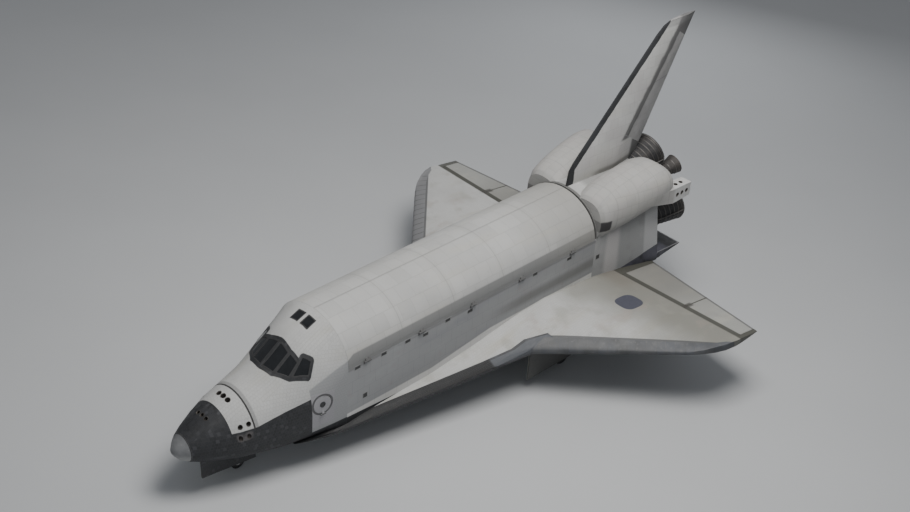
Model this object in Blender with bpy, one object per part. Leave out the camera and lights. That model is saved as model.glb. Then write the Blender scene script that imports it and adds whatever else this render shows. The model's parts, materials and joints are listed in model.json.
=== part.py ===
"""A winged orbital spaceplane with a payload bay, standing on its landing gear, at full size in metres.

Level frame, used for every size and place below: X forward, Y to port, Z up, with the plane Y = 0 as
the plane of symmetry and the belly level. The whole vehicle hangs on one empty that tips it nose down
to the attitude at which it parks, with its wheels on the plane Z = 0.
"""

import math

import bmesh
import bpy
from mathutils import Matrix, Vector

# Gaps
SEAT_GAP = 0.0003
RUNNING_GAP = 0.0006
MOVING_GAP = 0.008
DEEP = 0.5

# Parking attitude: the nose-down angle, and the shifts that put the box's foot at the origin
NOSE_DOWN = math.radians(3.3)
SHIFT_X = -0.5063

# Fuselage
WALL = 0.15
NOSE_CAP_X = 17.80
CABIN_FRONT_X = 13.20
BAY_FRONT_X = 9.80
DOOR_AFT_X = -8.48
BULKHEAD_X = -8.61
BODY_AFT_X = -14.02
BODY_HALF_WIDTH = 2.67
BELLY_Z = 2.51
SILL_Z = 6.20
BAY_TOP_Z = 8.43
LOWER_ARC_STEPS = 5
UPPER_ARC_STEPS = 12

# Nose sections: x, half width, bottom, height of the widest line, top, share of the lower half that is round
NOSE_SECTIONS = [
    (18.42, 0.07, 3.90, 3.97, 4.03, 0.97),
    (18.33, 0.25, 3.74, 3.94, 4.22, 0.97),
    (18.10, 0.52, 3.47, 3.91, 4.50, 0.97),
    (17.80, 0.78, 3.27, 3.88, 4.73, 0.97),
    (17.34, 1.05, 3.09, 3.84, 5.00, 0.97),
    (16.56, 1.42, 2.90, 3.78, 5.36, 0.94),
    (15.55, 1.79, 2.75, 3.74, 5.77, 0.82),
    (14.20, 2.09, 2.64, 3.70, 6.18, 0.68),
    (13.24, 2.28, 2.58, 3.78, 6.48, 0.58),
    (12.72, 2.36, 2.56, 3.90, 6.83, 0.52),
    (12.20, 2.44, 2.55, 4.08, 7.20, 0.46),
    (11.60, 2.51, 2.54, 4.43, 7.62, 0.38),
    (11.12, 2.56, 2.53, 4.83, 7.90, 0.31),
    (10.55, 2.62, 2.52, 5.30, 8.13, 0.21),
    (9.80, 2.67, 2.51, 6.20, 8.43, 0.08),
]
FIRST_WALL_SECTION = 3
CABIN_FLOOR_Z = 3.40
CABIN_AFT_X = 9.98

# Aft body sections: x, half width at the belly, half width at the shoulder, bottom, shoulder height, top
AFT_SECTIONS = [
    (-8.61, 2.67, 2.67, 2.51, 6.20, 8.43),
    (-10.60, 2.84, 2.70, 2.54, 6.22, 8.43),
    (-12.60, 3.08, 2.71, 2.64, 6.26, 8.42),
    (-14.02, 3.24, 2.72, 2.74, 6.30, 8.38),
]
AFT_LOWER_ROUND = 0.08
AFT_WALL = 0.16
BASE_PLATE_X = -13.35
BASE_PLATE_THICKNESS = 0.14

# Payload bay
BAY_RADIUS = 2.29
BAY_CENTRE_Z = 5.893
BAY_LINING_FRONT_X = 9.62
BAY_LINING_AFT_X = -8.30
DOOR_THICKNESS = 0.18
# Turns of the moving pieces are in degrees
DOOR_OPEN = 175.5
DOOR_ARC_STEPS = 14
DOOR_HINGE_STATIONS = (8.6, 4.9, 1.2, -2.5, -6.6)
KNUCKLE_RADIUS = 0.055
KNUCKLE_LENGTH = 0.22
LUG_LENGTH = 0.10

# Thruster module in the nose: front, back, half width, floor
MODULE_FRONT_X = 16.00
MODULE_AFT_X = 14.80
MODULE_HALF_WIDTH = 2.20
MODULE_FLOOR_Z = 4.62

# Flight deck panes in plan: (x, y) corners of each port pane, front edge first
PANE_CORNERS = {
    "centre": [(13.08, 0.08), (12.96, 0.76), (11.98, 0.74), (11.90, 0.08)],
    "middle": [(12.90, 0.86), (12.52, 1.42), (11.90, 1.34), (11.94, 0.84)],
    "side": [(12.40, 1.52), (11.72, 1.94), (11.34, 1.70), (11.60, 1.34)],
}
OVERHEAD_CORNERS = [(10.74, 0.12), (10.74, 0.62), (10.20, 0.62), (10.20, 0.12)]
PANE_THICKNESS = 0.06
PANE_RECESS = 0.012

# Side hatch, round, hinged along its lower edge on the port side
HATCH_X = 11.30
HATCH_Z = 4.74
HATCH_RADIUS = 0.49
HATCH_HOLE_RADIUS = 0.51
HATCH_THICKNESS = 0.10
HATCH_HINGE_DROP = 0.56
HATCH_HINGE_OUT = 0.06
HATCH_OPEN = 90.0

# Wing and strake planform, from the tip table: the leading edge is at x = WING_APEX_X - y
WING_APEX_X = 3.353
WING_TE_APEX_X = -14.154
WING_TE_SLOPE = 0.1773
WING_ROOT_Y = 1.90
STRAKE_END_Y = 4.78
# Strake leading edge: y, x, curving out of the body's lower corner
STRAKE_EDGE = [
    (WING_ROOT_Y, 12.90), (2.25, 12.80), (2.42, 12.42), (2.56, 11.90), (2.68, 11.42), (2.82, 10.78),
    (STRAKE_END_Y, WING_APEX_X - STRAKE_END_Y),
]
WING_TIP_Y = 11.89
TIP_ROUND_FROM_Y = 10.70
TIP_ROUND_DEPTH = 1.15
TIP_LOWER_Z = 3.35
TIP_UPPER_Z = 3.76
ROOT_UPPER_Z = 4.04
WING_STATIONS = (
    WING_ROOT_Y, 2.25, 2.42, 2.56, 2.68, 2.82, 3.10, 3.65, 4.20,
    STRAKE_END_Y, 5.40, 6.40, 8.40, 10.70, 11.20, 11.55, 11.78, 11.89,
)
EDGE_PANEL_DEPTH = 0.95
ELEVON_HINGE_X = -10.64
ELEVON_BACK_OFF = 0.45
# Elevons: name, inboard y, outboard y
ELEVONS = [
    ("inboard_elevon", 3.46, 7.86),
    ("outboard_elevon", 7.94, 11.60),
]
ELEVON_UP = 40.0
ELEVON_DOWN = 25.0

# Fin: z, leading edge x, trailing edge x
FIN_SECTIONS = [
    (8.10, -8.66, -14.45),
    (8.80, -8.72, -14.79),
    (9.35, -8.80, -15.06),
    (9.75, -9.08, -15.26),
    (15.90, -15.22, -18.28),
    (16.30, -15.75, -18.48),
    (16.51, -16.35, -18.59),
]
FIN_MAX_THICKNESS_SHARE = 0.105
FIN_CREST_SHARE = 0.64
FIN_EDGE_RADIUS = 0.05
RUDDER_FOOT = Vector((-13.345, 0.0, 10.21))
RUDDER_HEAD = Vector((-17.07, 0.0, 15.74))
RUDDER_TUBE_RADIUS = 0.07
RUDDER_TURN = 27.0
SPEED_BRAKE_OPEN = 49.0
# The cove's radius over the fin's half thickness, so that a half turned by both angles clears the fin's lip
RUDDER_COVE_SHARE = 1.21
RUDDER_NOSE_ANGLE = 38.0

# Orbital engine pods: x, inner y, outer y, bottom, top
POD_SECTIONS = [
    (-8.66, 0.58, 2.80, 5.90, 8.30),
    (-9.07, 0.52, 3.00, 5.95, 8.62),
    (-9.70, 0.47, 3.12, 6.05, 8.86),
    (-10.72, 0.44, 3.30, 6.22, 9.06),
    (-12.00, 0.43, 3.48, 6.53, 9.22),
    (-13.10, 0.46, 3.58, 6.78, 9.30),
    (-13.75, 0.62, 3.58, 6.93, 9.22),
    (-14.10, 0.90, 3.48, 7.08, 8.98),
]
POD_ROUNDNESS = 2.5
POD_RING_STEPS = 28
# Thruster housing behind each pod: x, inner y, outer y, bottom, top
STINGER_SECTIONS = [
    (-12.40, 2.60, 3.38, 7.25, 7.90),
    (-14.10, 2.88, 3.66, 6.96, 7.92),
    (-15.62, 2.94, 3.66, 7.00, 7.86),
]

# Engines: name, gimbal point, angle up, angle out to port, start of the bell along the axis
MAIN_ENGINES = [
    ("upper_main_engine", (-12.12, 0.0, 6.985), 16.0, 0.0),
    ("port_main_engine", (-12.70, 1.346, 4.436), 10.0, 3.5),
    ("starboard_main_engine", (-12.70, -1.346, 4.436), 10.0, -3.5),
]
# Main bell: distance aft of the gimbal point, radius
MAIN_BELL = [(1.05, 0.42), (1.35, 0.47), (1.75, 0.60), (2.20, 0.73), (2.80, 0.88), (3.45, 1.03), (4.19, 1.19)]
ENGINE_ROOM = 0.08
ORBITAL_BELL = [(0.78, 0.16), (1.00, 0.24), (1.30, 0.38), (1.62, 0.49), (1.95, 0.58)]
ORBITAL_GIMBAL = (-13.55, 2.235, 8.08)
ORBITAL_UP = 15.8
ORBITAL_OUT = 6.5
BELL_WALL = 0.045
POWERHEAD_RADIUS = 0.60
ORBITAL_HEAD_RADIUS = 0.25
BELL_STEPS = 24

# Body flap
FLAP_HINGE_X = -14.33
FLAP_HINGE_Z = 2.98
FLAP_AFT_X = -16.38
FLAP_AFT_Z = 3.02
FLAP_HALF_WIDTH = 3.06
FLAP_NOSE_RADIUS = 0.20
FLAP_UP = 11.7
FLAP_DOWN = 22.5

# Main gear
MAIN_AXLE_X = -5.11
MAIN_LEG_Y = 3.50
MAIN_TYRE_RADIUS = 0.565
MAIN_TYRE_WIDTH = 0.41
MAIN_WHEEL_OFFSET = 0.375
MAIN_AXLE_RADIUS = 0.075
MAIN_WELL = ((-6.00, -1.70), (2.78, 4.42), (2.00, 3.62))
MAIN_WELL_FRONT_Z = 2.90
MAIN_WELL_SLOPE_X = -4.20
MAIN_BRACE_HEAD_X = -4.45
MAIN_DOOR_THICKNESS = 0.11
MAIN_DOOR_DROP = 1.85
MAIN_LEG_RADIUS = 0.17
MAIN_PISTON_RADIUS = 0.12
MAIN_SLEEVE_FOOT_Z = 1.35

# Nose gear
NOSE_AXLE_X = 14.78
NOSE_TYRE_RADIUS = 0.406
NOSE_TYRE_WIDTH = 0.224
NOSE_WHEEL_OFFSET = 0.215
NOSE_AXLE_RADIUS = 0.05
NOSE_WELL = ((14.15, 17.40), (-0.74, 0.74), (2.00, 3.95))
NOSE_DOOR_THICKNESS = 0.06
NOSE_DOOR_DROP = 0.74
NOSE_LEG_RADIUS = 0.11
NOSE_PISTON_RADIUS = 0.08
NOSE_SLEEVE_FOOT_Z = 2.25
STEER_ANGLE = 10.0
TYRE_STEPS = 28

# Materials: base colour, roughness, metallic
FINISHES = {
    "white_blanket": ((0.62, 0.61, 0.59), 0.85, 0.0),
    "white_tile": ((0.55, 0.55, 0.54), 0.70, 0.0),
    "black_tile": ((0.045, 0.045, 0.05), 0.55, 0.0),
    "carbon_edge": ((0.20, 0.21, 0.23), 0.60, 0.0),
    "glass": ((0.02, 0.02, 0.025), 0.08, 0.0),
    "engine_metal": ((0.16, 0.15, 0.15), 0.35, 0.9),
    "gear_metal": ((0.62, 0.63, 0.64), 0.35, 0.8),
    "tyre_rubber": ((0.03, 0.03, 0.032), 0.80, 0.0),
}

for old in list(bpy.data.objects):
    bpy.data.objects.remove(old, do_unlink=True)

vehicle = bpy.data.collections.new("spaceplane")
cutters = bpy.data.collections.new("cutters")
for collection in (vehicle, cutters):
    bpy.context.scene.collection.children.link(collection)
cutters.hide_render = True

attitude = bpy.data.objects.new("attitude", None)
vehicle.objects.link(attitude)


def finish(name):
    """The Principled material of a finish, made once."""
    material = bpy.data.materials.get(name)
    if material is None:
        material = bpy.data.materials.new(name)
        material.use_nodes = True
        colour, roughness, metallic = FINISHES[name]
        shader = material.node_tree.nodes["Principled BSDF"]
        shader.inputs["Base Color"].default_value = (*colour, 1.0)
        shader.inputs["Roughness"].default_value = roughness
        shader.inputs["Metallic"].default_value = metallic
        material.diffuse_color = (*colour, 1.0)
    return material


def add_object(name, mesh, material=None, parent=attitude):
    """Links a mesh as a piece of the vehicle, or as a hidden cutter when it has no material."""
    obj = bpy.data.objects.new(name, mesh)
    if material:
        vehicle.objects.link(obj)
        mesh.materials.append(finish(material))
    else:
        cutters.objects.link(obj)
        obj.hide_render = True
        obj.display_type = "WIRE"
    obj.parent = parent
    return obj


def mesh_of(bm, name):
    """Turns a bmesh into a mesh with its faces pointing out."""
    bmesh.ops.recalc_face_normals(bm, faces=bm.faces)
    mesh = bpy.data.meshes.new(name)
    bm.to_mesh(mesh)
    bm.free()
    return mesh


def loft_mesh(name, rings):
    """A closed skin through rings of equal point count, capped at both ends.

    A quad that isn't flat is split along the same diagonal in every skin, mirrored from port to
    starboard, so that skins drawn one inside the other never cross.
    """
    bm = bmesh.new()
    rows = [[bm.verts.new(point) for point in ring] for ring in rings]
    count = len(rows[0])
    for near, far in zip(rows, rows[1:]):
        for i in range(count):
            j = (i + 1) % count
            a, b, c, d = near[i], near[j], far[j], far[i]
            normal = (b.co - a.co).cross(d.co - a.co)
            if abs(normal.dot(c.co - a.co)) < 1e-7 and normal.length > 1e-9:
                bm.faces.new((a, b, c, d))
            elif i < count // 2:
                bm.faces.new((a, b, c))
                bm.faces.new((a, c, d))
            else:
                bm.faces.new((a, b, d))
                bm.faces.new((b, c, d))
    bm.faces.new(rows[0])
    bm.faces.new(reversed(rows[-1]))
    return mesh_of(bm, name)


def prism_mesh(name, outline, along):
    """A flat outline swept by the vector along."""
    sweep = Vector(along)
    return loft_mesh(name, [[Vector(p) for p in outline], [Vector(p) + sweep for p in outline]])


def box_mesh(name, spans):
    """A box from its (low, high) spans in x, y and z."""
    bm = bmesh.new()
    bmesh.ops.create_cube(bm, size=1.0)
    size = [high - low for low, high in spans]
    centre = [(high + low) / 2 for low, high in spans]
    bmesh.ops.transform(bm, matrix=Matrix.Translation(centre) @ Matrix.Diagonal((*size, 1.0)), verts=bm.verts)
    return mesh_of(bm, name)


def rod_mesh(name, start, end, radius, steps=24, end_radius=None, roll=0.0):
    """A round bar, or a cone, between two points."""
    start, end = Vector(start), Vector(end)
    line = end - start
    turn = line.to_track_quat("Z", "Y").to_matrix().to_4x4() @ Matrix.Rotation(roll, 4, "Z")
    bm = bmesh.new()
    bmesh.ops.create_cone(
        bm,
        cap_ends=True,
        segments=steps,
        radius1=radius,
        radius2=radius if end_radius is None else end_radius,
        depth=line.length,
        matrix=Matrix.Translation((start + end) / 2) @ turn,
    )
    return mesh_of(bm, name)


def lug_mesh(pivot, radius, foot, start, end, steps=16, along="X"):
    """A lug along X or Y: the tight outline round its pin boss and its foot points, across that axis."""
    points = [
        (pivot[0] + radius * math.cos(a), pivot[1] + radius * math.sin(a))
        for a in (math.tau * i / steps for i in range(steps))
    ]
    points = sorted(set(points + list(foot)))
    chains = []
    for row in (points, points[::-1]):
        chain = []
        for p in row:
            while len(chain) > 1 and (
                (chain[-1][0] - chain[-2][0]) * (p[1] - chain[-2][1])
                - (chain[-1][1] - chain[-2][1]) * (p[0] - chain[-2][0])
            ) <= 1e-9:
                chain.pop()
            chain.append(p)
        chains += chain[:-1]
    if along == "X":
        return prism_mesh("lug", [(start, a, b) for a, b in chains], (end - start, 0, 0))
    return prism_mesh("lug", [(a, start, b) for a, b in chains], (0, end - start, 0))


def together(name, meshes):
    """Several meshes that don't touch, as one."""
    bm = bmesh.new()
    for mesh in meshes:
        bm.from_mesh(mesh)
    return mesh_of(bm, name)


def boolean(obj, cutter, operation="DIFFERENCE"):
    """Adds an exact Boolean and hides its operand among the cutters."""
    modifier = obj.modifiers.new(operation.lower(), "BOOLEAN")
    modifier.operation = operation
    modifier.object = cutter
    modifier.solver = "EXACT"
    return obj


def cut(obj, mesh):
    """Takes a mesh's volume out of a piece."""
    return boolean(obj, add_object(f"cut_{len(cutters.objects)}", mesh))


def keep(obj, mesh):
    """Keeps only what lies inside a mesh."""
    return boolean(obj, add_object(f"keep_{len(cutters.objects)}", mesh), "INTERSECT")


def join(obj, mesh):
    """Adds a mesh's volume to a piece."""
    return boolean(obj, add_object(f"join_{len(cutters.objects)}", mesh), "UNION")


def hang_on(obj, pivot, back_turn, turn):
    """Moves a piece's origin to its pivot, leaving its shape where it is, and notes how far it turns."""
    obj.data.transform(Matrix.Translation(-Vector(pivot)))
    obj.location = pivot
    obj["turn_degrees"] = (back_turn, turn)
    return obj


def mirrored(points):
    """The same points on the starboard side, in the reverse order."""
    return [Vector((p[0], -p[1], p[2])) for p in reversed(points)]


def side_names():
    """The two sides of the vehicle: name and sign of y."""
    return (("port", 1), ("starboard", -1))


# Fuselage sections


def body_ring(x, belly_half, shoulder_half, bottom, shoulder, top, lower_round, grow=0.0):
    """A body section: flat belly, rounded corner, straight side and an elliptical top."""
    belly_half += grow
    shoulder_half += grow
    bottom -= grow
    top += grow
    corner_y = belly_half * lower_round
    corner_z = (shoulder - bottom) * lower_round
    half = [(0.0, bottom)]
    for i in range(LOWER_ARC_STEPS + 1):
        a = i / LOWER_ARC_STEPS * math.pi / 2
        y = belly_half - corner_y + corner_y * math.sin(a)
        z = bottom + corner_z - corner_z * math.cos(a)
        half.append((y, z))
    for i in range(UPPER_ARC_STEPS):
        a = i / UPPER_ARC_STEPS * math.pi / 2
        half.append((shoulder_half * math.cos(a), shoulder + (top - shoulder) * math.sin(a)))
    port = [Vector((x, y, z)) for y, z in half]
    return port + [Vector((x, 0.0, top))] + mirrored(port[1:])


def nose_ring(section, grow=0.0):
    x, half_width, bottom, widest, top, lower_round = section
    return body_ring(x, half_width, half_width, bottom, widest, top, lower_round, grow)


def nose_rings(sections, grow=0.0):
    return [nose_ring(section, grow) for section in sections]


def aft_rings(grow=0.0, extra=0.0):
    """The aft body's sections; extra carries its end sections straight on."""
    rings = [body_ring(*section, AFT_LOWER_ROUND, grow) for section in AFT_SECTIONS]
    if extra:
        reach = Vector((extra, 0, 0))
        rings = [[p + reach for p in rings[0]], *rings, [p - reach for p in rings[-1]]]
    return rings


def section_between(x):
    """The nose section at x, read straight between the table's sections."""
    for front, back in zip(NOSE_SECTIONS, NOSE_SECTIONS[1:]):
        if front[0] >= x >= back[0]:
            t = (front[0] - x) / (front[0] - back[0])
            return tuple(a + (b - a) * t for a, b in zip(front, back))
    return NOSE_SECTIONS[-1]


def whole_body_mesh(name, grow=0.0):
    """The nose and the bay's outline in one skin, used to trim what is fitted to the body."""
    back = list(NOSE_SECTIONS[-1])
    back[0] = BULKHEAD_X - DEEP
    return loft_mesh(name, nose_rings(NOSE_SECTIONS[FIRST_WALL_SECTION:] + [tuple(back)], grow))


def add_nose_cap():
    sections = NOSE_SECTIONS[: FIRST_WALL_SECTION + 1]
    cap = add_object("nose_cap", loft_mesh("nose_cap", nose_rings(sections)), "carbon_edge")
    cut(cap, box_mesh("trim", ((NOSE_CAP_X - DEEP, NOSE_CAP_X + SEAT_GAP), (-2, 2), (2, 6))))


def module_span(gap=0.0):
    return (
        (MODULE_AFT_X + gap, MODULE_FRONT_X - gap),
        (-MODULE_HALF_WIDTH + gap, MODULE_HALF_WIDTH - gap),
        (MODULE_FLOOR_Z + gap, BAY_TOP_Z),
    )


def pane_mesh(corners, side, shrink=0.0):
    """A vertical prism over a pane's plan; shrink pulls its corners towards the middle."""
    points = [Vector((x, y * side, 0.0)) for x, y in corners]
    middle = sum(points, Vector()) / len(points)
    outline = [p + (middle - p).normalized() * shrink + Vector((0, 0, 4.9)) for p in points]
    return prism_mesh("pane", outline, (0, 0, 4.0))


def all_panes():
    """Name, plan corners and side sign of every flight deck pane."""
    table = [(f"{place}_window", corners) for place, corners in PANE_CORNERS.items()]
    table.append(("overhead_window", OVERHEAD_CORNERS))
    return [(f"{side}_{name}", corners, sign) for name, corners in table for side, sign in side_names()]


def hatch_bar(radius, reach):
    """A bar through the port side wall on the hatch's axis."""
    return rod_mesh("hatch_bar", (HATCH_X, 1.6, HATCH_Z), (HATCH_X, 1.6 + reach, HATCH_Z), radius, 32)


def cabin_mesh(wall):
    """The crew cabin's inner space, wall deep inside the skin."""
    inside = [s for s in NOSE_SECTIONS if CABIN_AFT_X < s[0] < CABIN_FRONT_X]
    sections = [section_between(CABIN_FRONT_X), *inside, section_between(CABIN_AFT_X)]
    rings = nose_rings(sections, -wall)
    for ring in rings:
        for point in ring:
            point.z = max(point.z, CABIN_FLOOR_Z)
            point.y = max(-2.3, min(2.3, point.y))
    return loft_mesh("cabin", rings)


def add_forward_body():
    sections = NOSE_SECTIONS[FIRST_WALL_SECTION:]
    body = add_object("forward_fuselage", loft_mesh("forward_fuselage", nose_rings(sections)), "white_tile")
    cut(body, cabin_mesh(WALL))
    cut(body, box_mesh("module_hole", module_span()))
    cut(body, box_mesh("nose_well", NOSE_WELL))
    cut(body, hatch_bar(HATCH_HOLE_RADIUS, 2.0))
    for _, corners, sign in all_panes():
        cut(body, pane_mesh(corners, sign))
    module = add_object("thruster_module", loft_mesh("thruster_module", nose_rings(sections)), "white_tile")
    keep(module, box_mesh("module_keep", module_span(SEAT_GAP)))


def add_windows():
    sections = NOSE_SECTIONS[FIRST_WALL_SECTION:]
    for name, corners, sign in all_panes():
        pane = add_object(name, pane_mesh(corners, sign, SEAT_GAP * 2), "glass")
        keep(pane, loft_mesh("outer", nose_rings(sections, -PANE_RECESS)))
        cut(pane, loft_mesh("inner", nose_rings(sections, -PANE_RECESS - PANE_THICKNESS)))


def hatch_hinge():
    """A point on the hatch's hinge line, just outside the skin under the hatch."""
    x, half_width, _, _, _, _ = section_between(HATCH_X)
    return Vector((HATCH_X, half_width + HATCH_HINGE_OUT, HATCH_Z - HATCH_HINGE_DROP))


def add_hatch():
    sections = NOSE_SECTIONS[FIRST_WALL_SECTION:]
    hatch = add_object("side_hatch", hatch_bar(HATCH_RADIUS, 2.0), "white_tile")
    keep(hatch, loft_mesh("outer", nose_rings(sections)))
    cut(hatch, loft_mesh("inner", nose_rings(sections, -HATCH_THICKNESS)))
    pivot = hatch_hinge()
    x, y, z = pivot
    wall_y = y - HATCH_HINGE_OUT
    foot = [(wall_y - 0.01, z + 0.15), (wall_y - 0.01, z + 0.20)]
    join(hatch, lug_mesh((y, z), 0.035, foot, x - 0.06, x + 0.06, 12))
    hang_on(hatch, pivot, 0.0, HATCH_OPEN)
    lugs = []
    for sign in (-1, 1):
        foot = [(wall_y - 0.05, z - 0.06), (wall_y - 0.05, z - 0.10)]
        lugs.append(lug_mesh((y, z), 0.035, foot, x + sign * (0.06 + SEAT_GAP), x + sign * 0.16, 12))
    join(bpy.data.objects["forward_fuselage"], together("lugs", lugs))


# Payload bay


def door_outline(side, x):
    """The door's section: the skin's ellipse outside, the same arc a door's thickness inside."""
    height = BAY_TOP_Z - SILL_Z
    seam = MOVING_GAP / 2
    outer, inner = [], []
    for i in range(DOOR_ARC_STEPS + 1):
        a = i / DOOR_ARC_STEPS * math.pi / 2
        for arc, inset in ((outer, 0.0), (inner, DOOR_THICKNESS)):
            y = max((BODY_HALF_WIDTH - inset) * math.cos(a), seam)
            z = SILL_Z + max((height - inset) * math.sin(a), MOVING_GAP)
            arc.append(Vector((x, y * side, z)))
    return outer + inner[::-1]


def add_mid_body():
    front = nose_ring(NOSE_SECTIONS[-1])
    box = [Vector((p.x, p.y, p.z)) for p in front if p.z <= SILL_Z + 1e-6]
    front_x = BAY_FRONT_X - SEAT_GAP
    back_x = BULKHEAD_X + SEAT_GAP
    outline = [Vector((front_x, p.y, min(p.z, SILL_Z))) for p in box]
    body = add_object(
        "mid_fuselage", prism_mesh("mid_fuselage", outline, (back_x - front_x, 0, 0)), "white_tile"
    )
    trough = [(BAY_LINING_FRONT_X, BAY_RADIUS, SILL_Z + DEEP)]
    for i in range(19):
        a = i / 18 * math.pi
        trough.append((BAY_LINING_FRONT_X, BAY_RADIUS * math.cos(a), BAY_CENTRE_Z - BAY_RADIUS * math.sin(a)))
    trough.append((BAY_LINING_FRONT_X, -BAY_RADIUS, SILL_Z + DEEP))
    cut(body, prism_mesh("trough", trough, (BAY_LINING_AFT_X - BAY_LINING_FRONT_X, 0, 0)))
    for _, side in side_names():
        lugs = []
        for x in DOOR_HINGE_STATIONS:
            for end in (-1, 1):
                near = x + end * (KNUCKLE_LENGTH / 2 + SEAT_GAP)
                lugs.append(door_lug(side, near, near + end * LUG_LENGTH, -1))
        join(body, together("lugs", lugs))


def door_pivot(side):
    """The door's hinge line runs along the sill, just outside the skin."""
    return Vector((0.0, side * (BODY_HALF_WIDTH + KNUCKLE_RADIUS + 0.006), SILL_Z + MOVING_GAP))


def door_lug(side, start_x, end_x, up):
    """A lug on the door's hinge line, footed in the door (up 1) or in the sill (up -1)."""
    pivot = door_pivot(side)
    foot = [
        (side * (BODY_HALF_WIDTH - 0.03), SILL_Z + up * 0.13),
        (side * (BODY_HALF_WIDTH - 0.03), SILL_Z + up * 0.19),
    ]
    return lug_mesh((pivot.y, pivot.z), KNUCKLE_RADIUS, foot, start_x, end_x)


def add_bay_doors():
    front_x = BAY_FRONT_X - MOVING_GAP
    length = DOOR_AFT_X - front_x
    for name, side in side_names():
        skin = prism_mesh("door", door_outline(side, front_x), (length, 0, 0))
        door = add_object(f"{name}_bay_door", skin, "white_blanket")
        half = KNUCKLE_LENGTH / 2
        join(door, together("lugs", [door_lug(side, x - half, x + half, 1) for x in DOOR_HINGE_STATIONS]))
        hang_on(door, door_pivot(side), 0.0, DOOR_OPEN)


# Wings


def smooth(edge0, edge1, x):
    t = max(0.0, min(1.0, (x - edge0) / (edge1 - edge0)))
    return t * t * (3 - 2 * t)


def wing_edge_x(y):
    """The leading edge's x at span station y: strake, swept wing, and the rounded tip."""
    for (near, near_x), (far, far_x) in zip(STRAKE_EDGE, STRAKE_EDGE[1:]):
        if y <= far:
            return near_x + (far_x - near_x) * (y - near) / (far - near)
    edge = WING_APEX_X - y
    if y > TIP_ROUND_FROM_Y:
        t = (y - TIP_ROUND_FROM_Y) / (WING_TIP_Y - TIP_ROUND_FROM_Y)
        edge -= TIP_ROUND_DEPTH * (1 - math.sqrt(max(0.0, 1 - t * t)))
    return edge


def wing_back_x(y):
    return WING_TE_APEX_X + WING_TE_SLOPE * y


def belly_of_wing(y):
    share = max(0.0, (y - BODY_HALF_WIDTH) / (WING_TIP_Y - BODY_HALF_WIDTH))
    return BELLY_Z + share * (TIP_LOWER_Z - BELLY_Z)


def full_thickness(y):
    share = max(0.0, (y - BODY_HALF_WIDTH) / (WING_TIP_Y - BODY_HALF_WIDTH))
    upper = ROOT_UPPER_Z + share * (TIP_UPPER_Z - ROOT_UPPER_Z)
    return upper - belly_of_wing(y)


def section_shape(s):
    """The thickness of a symmetric wing section at chord share s, as a share of its greatest."""
    s = max(0.0, min(1.0, s))
    shape = 0.2969 * math.sqrt(s) - 0.1260 * s - 0.3516 * s**2 + 0.2843 * s**3 - 0.1036 * s**4
    return max(0.0, shape) / 0.1


def wing_heights(x, y):
    """Lower and upper surface heights of the wing at (x, y)."""
    main_front = WING_APEX_X - max(y, BODY_HALF_WIDTH)
    back = wing_back_x(y)
    share = (main_front - x) / (main_front - back)
    panel = full_thickness(y) * section_shape(share)
    depth = max(0.0, wing_edge_x(y) - x)
    strake = 0.40 * (1 - math.exp(-depth / 1.5)) + 0.02 * depth
    root = strake + max(0.0, full_thickness(y) - strake) * smooth(-0.25, 0.40, share)
    if share > 0.40:
        root = panel
    blend = smooth(3.2, 5.6, y)
    main = root + (panel - root) * blend
    blunt = 0.72 + 0.30 * smooth(3.8, 5.4, y)
    thickness = min(main, blunt * math.sqrt(depth) + 0.004)
    if share > 0.9:
        thickness = max(thickness, 0.02)
    belly = belly_of_wing(y)
    edge_rise = 0.30 - 0.11 * max(0.0, (y - BODY_HALF_WIDTH) / (WING_TIP_Y - BODY_HALF_WIDTH))
    low = belly + edge_rise * math.exp(-depth / 0.22)
    tail_rise = (0.0283 * (main_front - back) * max(0.0, (share - 0.45) / 0.55) ** 1.5)
    low += tail_rise
    if x > BAY_FRONT_X:
        low += section_between(x)[2] - BELLY_Z
    return low, low + thickness


def wing_ring(y, side, edge_steps=5, box_steps=9):
    """A closed wing section at y: over the top to the back, and forward underneath."""
    front, back = wing_edge_x(y), wing_back_x(y)
    shoulder = min(WING_APEX_X - max(y, BODY_HALF_WIDTH), front - 0.30)
    xs = [front + (shoulder - front) * (i / edge_steps) ** 1.6 for i in range(edge_steps)]
    xs += [shoulder + (back - shoulder) * (i / box_steps) ** 1.25 for i in range(box_steps + 1)]
    upper, lower = [], []
    for x in xs:
        low, high = wing_heights(x, y)
        upper.append(Vector((x, side * y, high)))
        lower.append(Vector((x, side * y, low)))
    return upper + lower[::-1]


def wing_mesh(side):
    return loft_mesh("wing", [wing_ring(y, side) for y in WING_STATIONS])


def hinge_centre(y):
    """The elevon hinge's height and the wing's half thickness there."""
    low, high = wing_heights(ELEVON_HINGE_X, y)
    return (low + high) / 2, (high - low) / 2


def elevon_hinge_line():
    """The hinge line's ends, straight through the wing's middle at the elevons' outer stations."""
    inner, outer = ELEVONS[0][1], ELEVONS[-1][2]
    return (inner, hinge_centre(inner)[0]), (outer, hinge_centre(outer)[0])


def hinge_z(y):
    (inner, inner_z), (outer, outer_z) = elevon_hinge_line()
    return inner_z + (outer_z - inner_z) * (y - inner) / (outer - inner)


def squared(ring, y, side):
    """Leans a ring at station y so that it lies square to the hinge line."""
    (inner, inner_z), (outer, outer_z) = elevon_hinge_line()
    lean = (outer_z - inner_z) / (outer - inner)
    return [Vector((p.x, p.y - side * (p.z - hinge_z(y)) * lean, p.z)) for p in ring]


def nose_radius(y):
    """The elevon's nose radius, a little less than the distance from hinge to either skin."""
    low, high = wing_heights(ELEVON_HINGE_X, y)
    return min(high - hinge_z(y), hinge_z(y) - low)


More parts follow.
